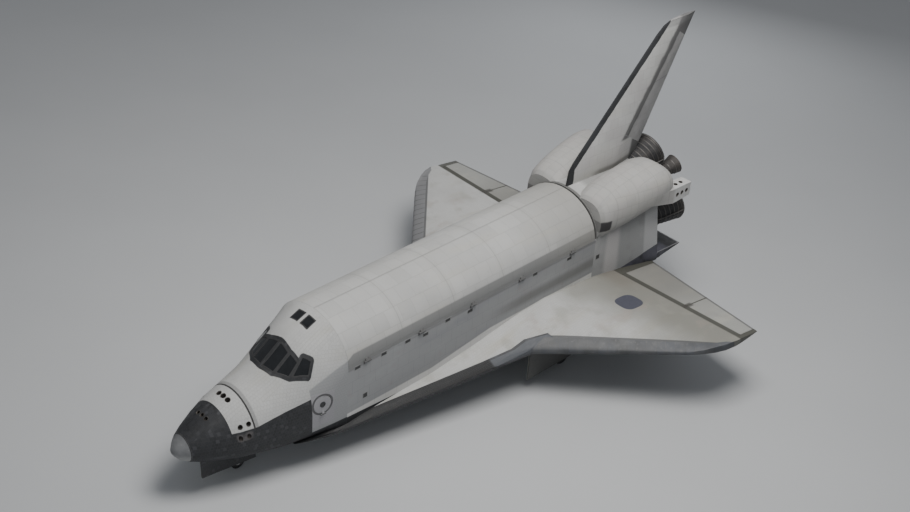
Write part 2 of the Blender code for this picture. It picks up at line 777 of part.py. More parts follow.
def elevon_ring(y, side, nose_steps=8):
    """Round nose about the hinge line, then the wing's own surfaces back to the trailing edge."""
    centre, radius = hinge_z(y), nose_radius(y)
    back = wing_back_x(y)
    ring = []
    for i in range(nose_steps + 1):
        a = math.pi / 2 - math.pi * i / nose_steps
        ring.append(Vector((ELEVON_HINGE_X + radius * math.cos(a), side * y, centre + radius * math.sin(a))))
    for share in (0.5, 1.0):
        x = ELEVON_HINGE_X + (back - ELEVON_HINGE_X) * share
        ring.append(Vector((x, side * y, wing_heights(x, y)[0])))
    for share in (1.0, 0.5):
        x = ELEVON_HINGE_X + (back - ELEVON_HINGE_X) * share
        ring.append(Vector((x, side * y, wing_heights(x, y)[1])))
    return squared(ring, y, side)


def cove_ring(y, side):
    """What the wing loses at the hinge: all behind a wall, and a round cove around the elevon's nose."""
    centre = hinge_z(y)
    radius = nose_radius(y)
    wall = ELEVON_HINGE_X + ELEVON_BACK_OFF * radius
    round_cut = radius + MOVING_GAP
    lip = math.acos(min(1.0, ELEVON_BACK_OFF * radius / round_cut))
    ring = [Vector((wall, side * y, centre + DEEP * 2))]
    for i in range(9):
        a = lip - 2 * lip * i / 8
        ring.append(Vector((
            ELEVON_HINGE_X + round_cut * math.cos(a), side * y, centre + round_cut * math.sin(a))))
    ring.append(Vector((wall, side * y, centre - DEEP * 2)))
    far = ELEVON_HINGE_X - 4.0
    ring.append(Vector((far, side * y, centre - DEEP * 2)))
    ring.append(Vector((far, side * y, centre + DEEP * 2)))
    return squared(ring, y, side)


def edge_band_mesh(side, gap):
    """The band of the wing's leading edge, behind which the wing box starts."""
    start = STRAKE_END_Y + gap
    stations = [start, 6.0, 8.0, 10.0, 10.7, 11.25, 11.62, 11.9]
    outer = [Vector((wing_edge_x(y) + DEEP, side * y, 1.5)) for y in stations]
    depth = EDGE_PANEL_DEPTH - gap
    inner = [Vector((wing_edge_x(min(y, 11.82)) - depth, side * y, 1.5)) for y in reversed(stations)]
    inner[0] = Vector((wing_edge_x(11.82) - depth, side * 12.4, 1.5))
    outer[-1] = Vector((wing_edge_x(11.62), side * 12.4, 1.5))
    return prism_mesh("edge_band", outer + inner, (0, 0, 4.0))


def hinge_point(y, side):
    return Vector((ELEVON_HINGE_X, side * y, hinge_z(y)))


def disc_across(centre, radius, steps=16):
    """A ring about a point of the hinge line, square to that line."""
    ring = [
        centre + Vector((radius * math.cos(math.tau * i / steps), 0, radius * math.sin(math.tau * i / steps)))
        for i in range(steps)
    ]
    return squared(ring, abs(centre.y), 1 if centre.y > 0 else -1)


def add_wing(name, side):
    wing = add_object(f"{name}_wing", wing_mesh(side), "white_tile")
    cut(wing, whole_body_mesh("body", SEAT_GAP))
    cut(wing, loft_mesh("aft_body", aft_rings(SEAT_GAP, DEEP)))
    cut(wing, edge_band_mesh(side, 0.0))
    (aft, front), (inner, outer), (foot, roof) = MAIN_WELL
    outline = [(aft, foot), (aft, roof), (MAIN_WELL_SLOPE_X, roof), (front, MAIN_WELL_FRONT_Z), (front, foot)]
    outline = [(x, side * inner, z) for x, z in outline]
    cut(wing, prism_mesh("main_well", outline, (0, side * (outer - inner), 0)))
    for _, inner, outer in ELEVONS:
        cut(wing, loft_mesh("cove", [
            cove_ring(y, side) for y in (inner - 2 * MOVING_GAP, (inner + outer) / 2, outer + 2 * MOVING_GAP)
        ]))
    edge = add_object(f"{name}_leading_edge", wing_mesh(side), "carbon_edge")
    keep(edge, edge_band_mesh(side, SEAT_GAP))


def add_elevons(name, side):
    for part, inner, outer in ELEVONS:
        middle = (inner + outer) / 2
        skin = loft_mesh(part, [elevon_ring(y, side) for y in (inner, middle, outer)])
        elevon = add_object(f"{name}_{part}", skin, "white_tile")
        for y, out in ((inner, -1), (outer, 1)):
            start = hinge_point(y - out * 0.1, side)
            end = hinge_point(y + out * (2 * MOVING_GAP - SEAT_GAP), side)
            join(elevon, loft_mesh("boss", [disc_across(start, 0.05), disc_across(end, 0.05)]))
        hang_on(elevon, hinge_point(middle, side), -ELEVON_DOWN, ELEVON_UP)


# Aft body, fin and pods


def engine_axis(up, out):
    """Unit vector from the gimbal point to the bell's mouth."""
    up, out = math.radians(up), math.radians(out)
    return Vector((-math.cos(up) * math.cos(out), math.cos(up) * math.sin(out), math.sin(up)))


def add_aft_body():
    body = add_object("aft_fuselage", loft_mesh("aft_fuselage", aft_rings()), "white_tile")
    inner = aft_rings(-AFT_WALL)
    for point in inner[0]:
        point.x -= AFT_WALL
    inner.append([point - Vector((DEEP, 0, 0)) for point in inner[-1]])
    cut(body, loft_mesh("aft_space", inner))
    cut(body, upper_engine_room())
    plate_front = BASE_PLATE_X + BASE_PLATE_THICKNESS
    plate = add_object("base_heat_shield", loft_mesh("base", aft_rings(-AFT_WALL - SEAT_GAP)), "white_tile")
    keep(plate, box_mesh("plate_span", ((BASE_PLATE_X, plate_front), (-4, 4), (2, 9))))
    for _, gimbal, up, out in MAIN_ENGINES:
        axis = engine_axis(up, out)
        near, far = Vector(gimbal) + axis * 0.75, Vector(gimbal) + axis * 1.50
        join(plate, rod_mesh("dome", near, far, 1.02, 24, 0.66))
    for _, gimbal, up, out in MAIN_ENGINES:
        axis = engine_axis(up, out)
        near, far = Vector(gimbal) + axis * 0.30, Vector(gimbal) + axis * 1.90
        cut(plate, rod_mesh("engine_hole", near, far, POWERHEAD_RADIUS + SEAT_GAP, 24))


def spun_mesh(name, profile, steps, matrix, closed=False):
    """A (radius, height) profile turned about Z, then placed by the matrix."""
    bm = bmesh.new()
    verts = [bm.verts.new((r, 0.0, h)) for r, h in profile]
    for a, b in zip(verts, verts[1:] + (verts[:1] if closed else [])):
        bm.edges.new((a, b))
    whole = {"angle": math.tau, "steps": steps, "axis": (0, 0, 1), "cent": (0, 0, 0)}
    bmesh.ops.spin(bm, geom=bm.verts[:] + bm.edges[:], use_merge=True, **whole)
    bmesh.ops.remove_doubles(bm, verts=bm.verts, dist=1e-5)
    bmesh.ops.transform(bm, matrix=matrix, verts=bm.verts)
    return mesh_of(bm, name)


def bell_mesh(name, profile, wall, gimbal, axis):
    """A bell turned about its axis: the outer wall, then back up inside, closed at the throat."""
    outer = [(r, -d) for d, r in profile]
    inner = [(r - wall, -d) for d, r in profile]
    inner[0] = (profile[0][1] - wall, -profile[0][0] - wall)
    points = [(0.0, outer[0][1]), *outer, *reversed(inner), (0.0, inner[0][1])]
    turn = (-axis).to_track_quat("Z", "Y").to_matrix().to_4x4()
    return spun_mesh(name, points, BELL_STEPS, Matrix.Translation(gimbal) @ turn)


def upper_engine_room():
    """The room that the upper main engine's bell takes in the roof, the fin's foot and the pods."""
    _, gimbal, up, out = MAIN_ENGINES[0]
    axis = engine_axis(up, out)
    profile = [(r + ENGINE_ROOM, -d) for d, r in MAIN_BELL]
    profile = [(0.0, profile[0][1]), *profile, (0.0, profile[-1][1])]
    turn = (-axis).to_track_quat("Z", "Y").to_matrix().to_4x4()
    return spun_mesh("engine_room", profile, 24, Matrix.Translation(gimbal) @ turn)


def add_engines():
    for name, gimbal, up, out in MAIN_ENGINES:
        axis = engine_axis(up, out)
        bell = bell_mesh(name, MAIN_BELL, BELL_WALL, Vector(gimbal), axis)
        engine = add_object(name, bell, "engine_metal")
        start = Vector(gimbal) + axis * 0.35
        join(engine, rod_mesh("powerhead", start, Vector(gimbal) + axis * 1.25, POWERHEAD_RADIUS, 24))
    for name, side in side_names():
        gimbal = Vector(ORBITAL_GIMBAL)
        gimbal.y *= side
        axis = engine_axis(ORBITAL_UP, ORBITAL_OUT * side)
        bell = bell_mesh("orbital", ORBITAL_BELL, 0.02, gimbal, axis)
        engine = add_object(f"{name}_orbital_engine", bell, "engine_metal")
        join(engine, rod_mesh("head", gimbal + axis * 0.10, gimbal + axis * 0.92, ORBITAL_HEAD_RADIUS))


def pod_ring(section, side, grow=0.0):
    x, inner, outer, bottom, top = section
    cy, cz = (inner + outer) / 2, (bottom + top) / 2
    half_y, half_z = (outer - inner) / 2 + grow, (top - bottom) / 2 + grow
    ring = []
    for i in range(POD_RING_STEPS):
        a = math.tau * i / POD_RING_STEPS
        c, s = math.cos(a), math.sin(a)
        y = math.copysign(abs(c) ** (2 / POD_ROUNDNESS), c)
        z = math.copysign(abs(s) ** (2 / POD_ROUNDNESS), s)
        ring.append(Vector((x, side * (cy + half_y * y), cz + half_z * z)))
    return ring


def add_pods():
    for name, side in side_names():
        skin = loft_mesh("pod", [pod_ring(section, side) for section in POD_SECTIONS])
        pod = add_object(f"{name}_engine_pod", skin, "white_blanket")
        join(pod, loft_mesh("stinger", [
            [
                Vector((x, side * inner, bottom)), Vector((x, side * outer, bottom)),
                Vector((x, side * outer, top)), Vector((x, side * inner, top)),
            ]
            for x, inner, outer, bottom, top in STINGER_SECTIONS
        ]))
        cut(pod, loft_mesh("aft_body", aft_rings(SEAT_GAP, SEAT_GAP)))
        cut(pod, upper_engine_room())
        gimbal = Vector(ORBITAL_GIMBAL)
        gimbal.y *= side
        axis = engine_axis(ORBITAL_UP, ORBITAL_OUT * side)
        start = gimbal + axis * (ORBITAL_BELL[0][0] - SEAT_GAP)
        cut(pod, rod_mesh("bell_room", start, gimbal + axis * 2.4, 0.36, 24, 0.70))
        start, end = gimbal + axis * 0.05, gimbal + axis * 1.2
        cut(pod, rod_mesh("head_hole", start, end, ORBITAL_HEAD_RADIUS + SEAT_GAP))


def fin_ring(z, front, back, side_grow=0.0):
    """A double-wedge section with a blunt nose, its crest at the hinge line's share of the chord."""
    chord = front - back
    half = chord * FIN_MAX_THICKNESS_SHARE / 2 + side_grow
    crest = front - chord * FIN_CREST_SHARE
    nose = FIN_EDGE_RADIUS
    port = [
        (front, 0.0),
        (front - nose * 0.3, nose * 0.8),
        (front - nose * 1.2, nose * 1.2),
        (crest + chord * 0.06, half * 0.97),
        (crest, half * 0.97),
        (back + 0.02, 0.012),
    ]
    points = [Vector((x, y, z)) for x, y in port]
    return points + [Vector((back, 0.0, z))] + mirrored(points[1:])


def rudder_axis():
    return (RUDDER_HEAD - RUDDER_FOOT).normalized()


def rudder_frame():
    """Matrix of the rudder's own frame: Z up its hinge line, X forward across it, from its foot."""
    up = rudder_axis()
    port = Vector((0, 1, 0))
    forward = port.cross(up)
    turn = Matrix((forward, port, up)).transposed().to_4x4()
    return Matrix.Translation(RUDDER_FOOT) @ turn


def crest_half(height):
    """The fin's half thickness at the hinge line, at a height up the hinge line."""
    z = (RUDDER_FOOT + rudder_axis() * height).z
    low, high = FIN_SECTIONS[3], FIN_SECTIONS[4]
    share = (z - low[0]) / (high[0] - low[0])
    chord = (low[1] - low[2]) + share * ((high[1] - high[2]) - (low[1] - low[2]))
    return 0.97 * chord * FIN_MAX_THICKNESS_SHARE / 2


def rudder_half_span(side):
    """What a rudder half keeps of the fin: behind the hinge line, and a rounded nose ahead of it.

    The nose stops at an angle from the hinge plane, so that the two noses pass when both halves are open.
    """
    length = (RUDDER_HEAD - RUDDER_FOOT).length
    rings = []
    for height in (MOVING_GAP, length - MOVING_GAP):
        radius = crest_half(height) - 0.002
        ring = [(-5.0, MOVING_GAP / 2), (0.0, MOVING_GAP / 2)]
        for i in range(7):
            a = math.radians(90 - RUDDER_NOSE_ANGLE * (1 - i / 6))
            ring.append((radius * math.cos(a), radius * math.sin(a)))
        ring += [(0.0, 2.0), (-5.0, 2.0)]
        rings.append([Vector((x, side * y, height)) for x, y in ring])
    mesh = loft_mesh("half_span", rings)
    mesh.transform(rudder_frame())
    return mesh


def add_fin():
    fin = add_object("fin", loft_mesh("fin", [fin_ring(*s) for s in FIN_SECTIONS]), "white_blanket")
    cut(fin, loft_mesh("aft_body", aft_rings(SEAT_GAP, SEAT_GAP)))
    cut(fin, upper_engine_room())
    length = (RUDDER_HEAD - RUDDER_FOOT).length
    rings = []
    for height in (0.0, length):
        round_cut = crest_half(height) * RUDDER_COVE_SHARE + MOVING_GAP
        ring = [(-6.0, -1.0), (0.0, -1.0)]
        for i in range(19):
            a = math.pi * (i / 18 - 0.5)
            ring.append((round_cut * math.cos(a), round_cut * math.sin(a)))
        ring += [(0.0, 1.0), (-6.0, 1.0)]
        rings.append([Vector((x, y, height)) for x, y in ring])
    bay = loft_mesh("rudder_bay", rings)
    bay.transform(rudder_frame())
    cut(fin, bay)
    tube = add_object("rudder_hinge_tube", rod_mesh(
        "tube",
        RUDDER_FOOT + rudder_axis() * SEAT_GAP,
        RUDDER_HEAD - rudder_axis() * SEAT_GAP,
        RUDDER_TUBE_RADIUS,
    ), "gear_metal")
    hang_on(tube, RUDDER_FOOT, -RUDDER_TURN, RUDDER_TURN)
    for name, side in side_names():
        skin = loft_mesh("half", [fin_ring(*section) for section in FIN_SECTIONS])
        half = add_object(f"{name}_rudder_half", skin, "white_blanket")
        keep(half, rudder_half_span(side))
        room = (RUDDER_TUBE_RADIUS + RUNNING_GAP) / math.cos(math.pi / 24)
        start, end = RUDDER_FOOT - rudder_axis(), RUDDER_HEAD + rudder_axis()
        cut(half, rod_mesh("tube_room", start, end, room, 24, roll=math.pi / 24))
        hang_on(half, RUDDER_FOOT, 0.0, SPEED_BRAKE_OPEN)


def add_body_flap():
    ring = []
    for i in range(9):
        a = math.pi / 2 - math.pi * i / 8
        nose_x, nose_z = FLAP_NOSE_RADIUS * math.cos(a), FLAP_NOSE_RADIUS * math.sin(a)
        ring.append((FLAP_HINGE_X + nose_x, FLAP_HINGE_Z + nose_z))
    ring += [(FLAP_AFT_X, FLAP_AFT_Z - 0.02), (FLAP_AFT_X, FLAP_AFT_Z + 0.02)]
    outline = [Vector((x, -FLAP_HALF_WIDTH, z)) for x, z in ring]
    flap = add_object("body_flap", prism_mesh("flap", outline, (0, 2 * FLAP_HALF_WIDTH, 0)), "black_tile")
    hang_on(flap, (FLAP_HINGE_X, 0.0, FLAP_HINGE_Z), -FLAP_DOWN, FLAP_UP)
    foot = [(BODY_AFT_X + 0.10, FLAP_HINGE_Z - 0.04), (BODY_AFT_X + 0.10, FLAP_HINGE_Z + 0.12)]
    start = FLAP_HALF_WIDTH + SEAT_GAP
    brackets = [
        lug_mesh((FLAP_HINGE_X, FLAP_HINGE_Z), 0.11, foot, side * start, side * 3.15, 16, "Y")
        for _, side in side_names()
    ]
    join(bpy.data.objects["aft_fuselage"], together("brackets", brackets))


# Landing gear


def level_height(x, height):
    """The level frame's z of a point at x that parks at this height."""
    return (height + x * math.sin(NOSE_DOWN) - SHIFT_Z) / math.cos(NOSE_DOWN)


# The wheels stand on flats, so an axle is a little less than a radius up
FLAT = math.cos(math.pi / TYRE_STEPS)
SHIFT_Z = MAIN_TYRE_RADIUS * FLAT * (1 - math.cos(NOSE_DOWN)) + MAIN_AXLE_X * math.sin(NOSE_DOWN)
MAIN_AXLE_Z = MAIN_TYRE_RADIUS * FLAT
NOSE_AXLE_Z = level_height(NOSE_AXLE_X, NOSE_TYRE_RADIUS * FLAT)


def turned(name, profile, material, centre, closed=True):
    """A piece turned about the Y line through centre, standing on a flat once the vehicle is parked."""
    stand = Matrix.Rotation(-NOSE_DOWN, 4, "Y") @ Matrix.Rotation(math.pi / 2, 4, "X")
    stand = stand @ Matrix.Rotation(math.pi / 2 + math.pi / TYRE_STEPS, 4, "Z")
    obj = add_object(name, spun_mesh(name, profile, TYRE_STEPS, stand, closed), material)
    obj.location = centre
    return obj


def tyre_profile(radius, width, rim):
    """Round-shouldered tyre section: bore, side walls and a slightly crowned tread."""
    w = width / 2
    return [
        (rim, -w * 0.72),
        (rim, w * 0.72),
        (rim + (radius - rim) * 0.45, w),
        (radius * 0.945, w * 0.86),
        (radius, w * 0.42),
        (radius, -w * 0.42),
        (radius * 0.945, -w * 0.86),
        (rim + (radius - rim) * 0.45, -w),
    ]


def wheel_parts(name, centre, radius, width, offset, axle):
    """Two tyres and the axle that carries both rims, all one turning body."""
    rim = radius * 0.50
    for place, sign in (("outer", 1), ("inner", -1)):
        y = centre.y + sign * offset * (1 if centre.y >= 0 else -1)
        profile = tyre_profile(radius, width, rim)
        turned(f"{name}_{place}_tyre", profile, "tyre_rubber", Vector((centre.x, y, centre.z)))
    w = width / 2
    dish = []
    for sign in (1, -1):
        for r, y in (
            (axle, -w * 0.55 - 0.02),
            (rim * 0.80, -w * 0.55),
            (rim - SEAT_GAP, -w * 0.66),
            (rim - SEAT_GAP, w * 0.66),
            (rim * 0.80, w * 0.35),
            (rim * 0.45, w * 0.75),
        ):
            dish.append((r, sign * offset + sign * y))
    half = dish[:6]
    profile = [(0.0, half[-1][1]), *reversed(half), *[(r, -y) for r, y in half], (0.0, -half[-1][1])]
    turned(f"{name}_axle", profile, "gear_metal", centre, closed=False)


def bearing_mesh(centre, radius, half_length):
    """The boss that the axle runs in, before its bore is cut."""
    reach = Vector((0, half_length, 0))
    return rod_mesh("bearing", centre - reach, centre + reach, radius)


def cut_bore(obj, centre, radius):
    """The axle's bore, wide enough for the corners of the axle to turn in it."""
    room = (radius + RUNNING_GAP) / math.cos(math.pi / TYRE_STEPS)
    reach = Vector((0, 1, 0))
    cut(obj, rod_mesh("bore", centre - reach, centre + reach, room, TYRE_STEPS))


def add_brace(leg, foot, head, radius):
    """A drag brace from the leg up to a square fitting on the well's roof."""
    x, y, z = head
    reach = 1.6 * radius
    join(leg, rod_mesh("brace", foot, (x, y, z - 1.3 * radius), radius, 12, roll=0.2))
    fitting = ((x - reach, x + reach), (y - reach, y + reach), (z - 2.6 * radius, z))
    join(leg, box_mesh("fitting", fitting))


def add_main_gear(name, side):
    centre = Vector((MAIN_AXLE_X, side * MAIN_LEG_Y, MAIN_AXLE_Z))
    wheel_parts(
        f"{name}_main", centre, MAIN_TYRE_RADIUS, MAIN_TYRE_WIDTH, MAIN_WHEEL_OFFSET, MAIN_AXLE_RADIUS
    )
    half = MAIN_WHEEL_OFFSET - MAIN_TYRE_WIDTH * 0.5 * 0.57 - 0.03
    leg = add_object(f"{name}_main_leg", bearing_mesh(centre, MAIN_AXLE_RADIUS + 0.06, half), "gear_metal")
    top = MAIN_WELL[2][1] - SEAT_GAP
    join(leg, rod_mesh("piston", centre, (centre.x, centre.y, MAIN_SLEEVE_FOOT_Z + 0.1), MAIN_PISTON_RADIUS))
    foot = (centre.x, centre.y, MAIN_SLEEVE_FOOT_Z)
    join(leg, rod_mesh("sleeve", foot, (centre.x, centre.y, top), MAIN_LEG_RADIUS))
    brace_top = (MAIN_BRACE_HEAD_X, centre.y, top)
    add_brace(leg, (centre.x, centre.y, MAIN_SLEEVE_FOOT_Z + 0.35), brace_top, 0.07)
    cut_bore(leg, centre, MAIN_AXLE_RADIUS)
    low, high = MAIN_WELL[0]
    hinge_y = MAIN_WELL[1][1]
    y_span = sorted((side * (hinge_y + SEAT_GAP), side * (hinge_y + MAIN_DOOR_THICKNESS)))
    belly = belly_of_wing(hinge_y)
    add_object(f"{name}_main_gear_door", box_mesh("door", (
        (low + 0.02, high - 0.02),
        y_span,
        (belly - MAIN_DOOR_DROP, belly - SEAT_GAP),
    )), "black_tile")


def add_nose_gear():
    centre = Vector((NOSE_AXLE_X, 0.0, NOSE_AXLE_Z))
    wheel_parts("nose", centre, NOSE_TYRE_RADIUS, NOSE_TYRE_WIDTH, NOSE_WHEEL_OFFSET, NOSE_AXLE_RADIUS)
    half = NOSE_WHEEL_OFFSET - NOSE_TYRE_WIDTH * 0.5 * 0.57 - 0.03
    top = NOSE_SLEEVE_FOOT_Z
    bearing = bearing_mesh(centre, NOSE_AXLE_RADIUS + 0.045, half)
    lower = add_object("nose_steering_leg", bearing, "gear_metal")
    join(lower, rod_mesh("piston", centre, (centre.x, 0.0, top - SEAT_GAP), NOSE_PISTON_RADIUS))
    cut_bore(lower, centre, NOSE_AXLE_RADIUS)
    hang_on(lower, (centre.x, 0.0, top), -STEER_ANGLE, STEER_ANGLE)
    roof = NOSE_WELL[2][1] - SEAT_GAP
    sleeve = rod_mesh("sleeve", (centre.x, 0, top), (centre.x, 0, roof), NOSE_LEG_RADIUS)
    upper = add_object("nose_leg", sleeve, "gear_metal")
    add_brace(upper, (centre.x, 0.0, top + 0.35), (NOSE_WELL[0][1] - 1.1, 0.0, roof), 0.055)
    low, high = NOSE_WELL[0]
    for name, side in side_names():
        rings = []
        for x in (low + 0.02, high - 0.02):
            bottom = section_between(x)[2] + 0.035
            inner = side * (NOSE_WELL[1][1] + 0.02)
            outer = inner + side * NOSE_DOOR_THICKNESS
            foot = inner + side * 0.10
            rings.append([
                Vector((x, inner, bottom + 0.30)),
                Vector((x, outer, bottom + 0.30)),
                Vector((x, foot + side * NOSE_DOOR_THICKNESS, bottom - NOSE_DOOR_DROP)),
                Vector((x, foot, bottom - NOSE_DOOR_DROP)),
            ])
        door = add_object(f"{name}_nose_gear_door", loft_mesh("door", rings), "black_tile")
        cut(door, loft_mesh("skin", nose_rings(NOSE_SECTIONS[FIRST_WALL_SECTION:], SEAT_GAP)))


def main():
    add_nose_cap()
    add_forward_body()
    add_windows()
    add_hatch()
    add_mid_body()
    add_bay_doors()
    add_aft_body()
    add_engines()
    add_pods()
    add_fin()
    add_body_flap()
    add_nose_gear()
    for name, side in side_names():
        add_wing(name, side)
        add_elevons(name, side)
        add_main_gear(name, side)
    attitude.rotation_euler = (0.0, NOSE_DOWN, 0.0)
    attitude.location = (SHIFT_X, 0.0, SHIFT_Z)
    bpy.context.view_layer.update()


main()
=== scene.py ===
import json
import math
from itertools import pairwise

import bmesh
import bpy
from mathutils import Matrix, Vector
from mathutils.bvhtree import BVHTree

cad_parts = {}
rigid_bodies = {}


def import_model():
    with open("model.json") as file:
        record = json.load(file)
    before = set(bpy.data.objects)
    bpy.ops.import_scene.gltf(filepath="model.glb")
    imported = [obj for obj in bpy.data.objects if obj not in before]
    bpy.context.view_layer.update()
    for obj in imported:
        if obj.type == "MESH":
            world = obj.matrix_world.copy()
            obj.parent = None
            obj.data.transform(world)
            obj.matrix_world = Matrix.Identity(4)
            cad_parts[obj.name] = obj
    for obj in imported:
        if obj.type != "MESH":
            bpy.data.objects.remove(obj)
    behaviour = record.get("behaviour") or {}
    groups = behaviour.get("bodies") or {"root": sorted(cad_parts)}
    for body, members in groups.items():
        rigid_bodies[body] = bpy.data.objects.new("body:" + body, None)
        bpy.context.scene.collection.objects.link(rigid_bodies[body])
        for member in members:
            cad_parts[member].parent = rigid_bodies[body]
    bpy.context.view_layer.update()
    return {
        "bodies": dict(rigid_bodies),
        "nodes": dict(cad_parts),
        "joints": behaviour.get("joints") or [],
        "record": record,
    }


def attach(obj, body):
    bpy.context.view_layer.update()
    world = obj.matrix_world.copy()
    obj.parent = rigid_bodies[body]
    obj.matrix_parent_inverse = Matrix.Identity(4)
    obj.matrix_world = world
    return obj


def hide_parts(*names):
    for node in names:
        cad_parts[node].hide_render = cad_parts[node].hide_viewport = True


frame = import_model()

# The vehicle's stance
# A winged spaceplane parked on three legs, its nose 3.3 degrees lower than its tail.
# Its drawings are level, so every size below is level, in metres, and this matrix tips it to the ground.
NOSE_DOWN = math.radians(3.3)
STANCE_X = -0.5063
STANCE_Z = -0.29322
stance = Matrix.Translation((STANCE_X, 0, STANCE_Z)) @ Matrix.Rotation(NOSE_DOWN, 4, "Y")
level = stance.inverted()
nodes = frame["nodes"]
SIDES = (("port", 1), ("starboard", -1))

# The studio camera
# A long lens on a crane ahead of the port wing, high over the nose, rolled a little.
CRANE_AZIMUTH = math.radians(133.188105)
CRANE_ELEVATION = math.radians(33.540581)
CRANE_ROLL = math.radians(4.273991)
CRANE_REACH = 81.660575
CRANE_AIM = Vector((-0.0254, 0, 4.0))
CRANE_SHIFT = (0.192334, 2.783792)
LENS_PIXELS = 1497.11935
PICTURE_WIDTH = 910
FILM_WIDTH = 36

towards = Vector((
    math.sin(CRANE_AZIMUTH) * math.cos(CRANE_ELEVATION),
    -math.cos(CRANE_AZIMUTH) * math.cos(CRANE_ELEVATION),
    math.sin(CRANE_ELEVATION),
))
sideways = Vector((math.cos(CRANE_AZIMUTH), math.sin(CRANE_AZIMUTH), 0))
upwards = towards.cross(sideways)
picture_right = sideways * math.cos(CRANE_ROLL) + upwards * math.sin(CRANE_ROLL)
picture_up = upwards * math.cos(CRANE_ROLL) - sideways * math.sin(CRANE_ROLL)
crane = Matrix((picture_right, picture_up, towards)).transposed().to_4x4()
crane.translation = CRANE_AIM + towards * CRANE_REACH
crane.translation += picture_right * CRANE_SHIFT[0] + picture_up * CRANE_SHIFT[1]
lens = bpy.data.cameras.new("studio_camera")
lens.sensor_width = FILM_WIDTH
lens.lens = LENS_PIXELS / PICTURE_WIDTH * FILM_WIDTH
lens.clip_end = 500
camera = bpy.data.objects.new("studio_camera", lens)
bpy.context.scene.collection.objects.link(camera)
camera.matrix_world = stance @ crane
bpy.context.scene.camera = camera

# The studio floor
# A pale matt floor, wider than the camera sees, faintly mottled as painted concrete is.
# Soft boxes hang over the vehicle and stand ahead of it and behind it, and the room is dim and pale.
FLOOR_HALF = 320
FLOOR_SHADE = (0.55, 0.56, 0.57)


class Wire:
    """A socket of a finish; sums and products of wires add Math nodes."""

    def __init__(self, finish, socket):
        self.finish = finish
        self.socket = socket

    def maths(self, operation, first, second=0.0):
        return self.finish.add("ShaderNodeMath", {"operation": operation}, {0: first, 1: second})

    def __add__(self, other):
        return self.maths("ADD", self, other)

    def __sub__(self, other):
        return self.maths("SUBTRACT", self, other)

    def __rsub__(self, other):
        return self.maths("SUBTRACT", other, self)

    def __mul__(self, other):
        return self.maths("MULTIPLY", self, other)

    def __truediv__(self, other):
        return self.maths("DIVIDE", self, other)

    def __abs__(self):
        return self.maths("ABSOLUTE", self)

    def root(self):
        return self.maths("SQRT", self)

    def rise(self, low, high):
        """0 below low and 1 above high, smooth between them; with low above high it falls instead."""
        sockets = {"Value": self, "From Min": min(low, high), "From Max": max(low, high)}
        if low > high:
            sockets.update({"To Min": 1.0, "To Max": 0.0})
        return self.finish.add("ShaderNodeMapRange", {"interpolation_type": "SMOOTHSTEP"}, sockets)

    def span(self, low, high, soft=0.008):
        """1 where the value lies from low to high."""
        return self.rise(low - soft, low + soft) * self.rise(high + soft, high - soft)

    def vary(self, change):
        """A factor near 1 that varies by change, from a pattern of 0 to 1."""
        return 1 + (self - 0.5) * change

    def __or__(self, other):
        return self.maths("MAXIMUM", self, other)

    def __and__(self, other):
        return self.maths("MINIMUM", self, other)

    __radd__ = __add__
    __rmul__ = __mul__
    __ror__ = __or__
    __rand__ = __and__


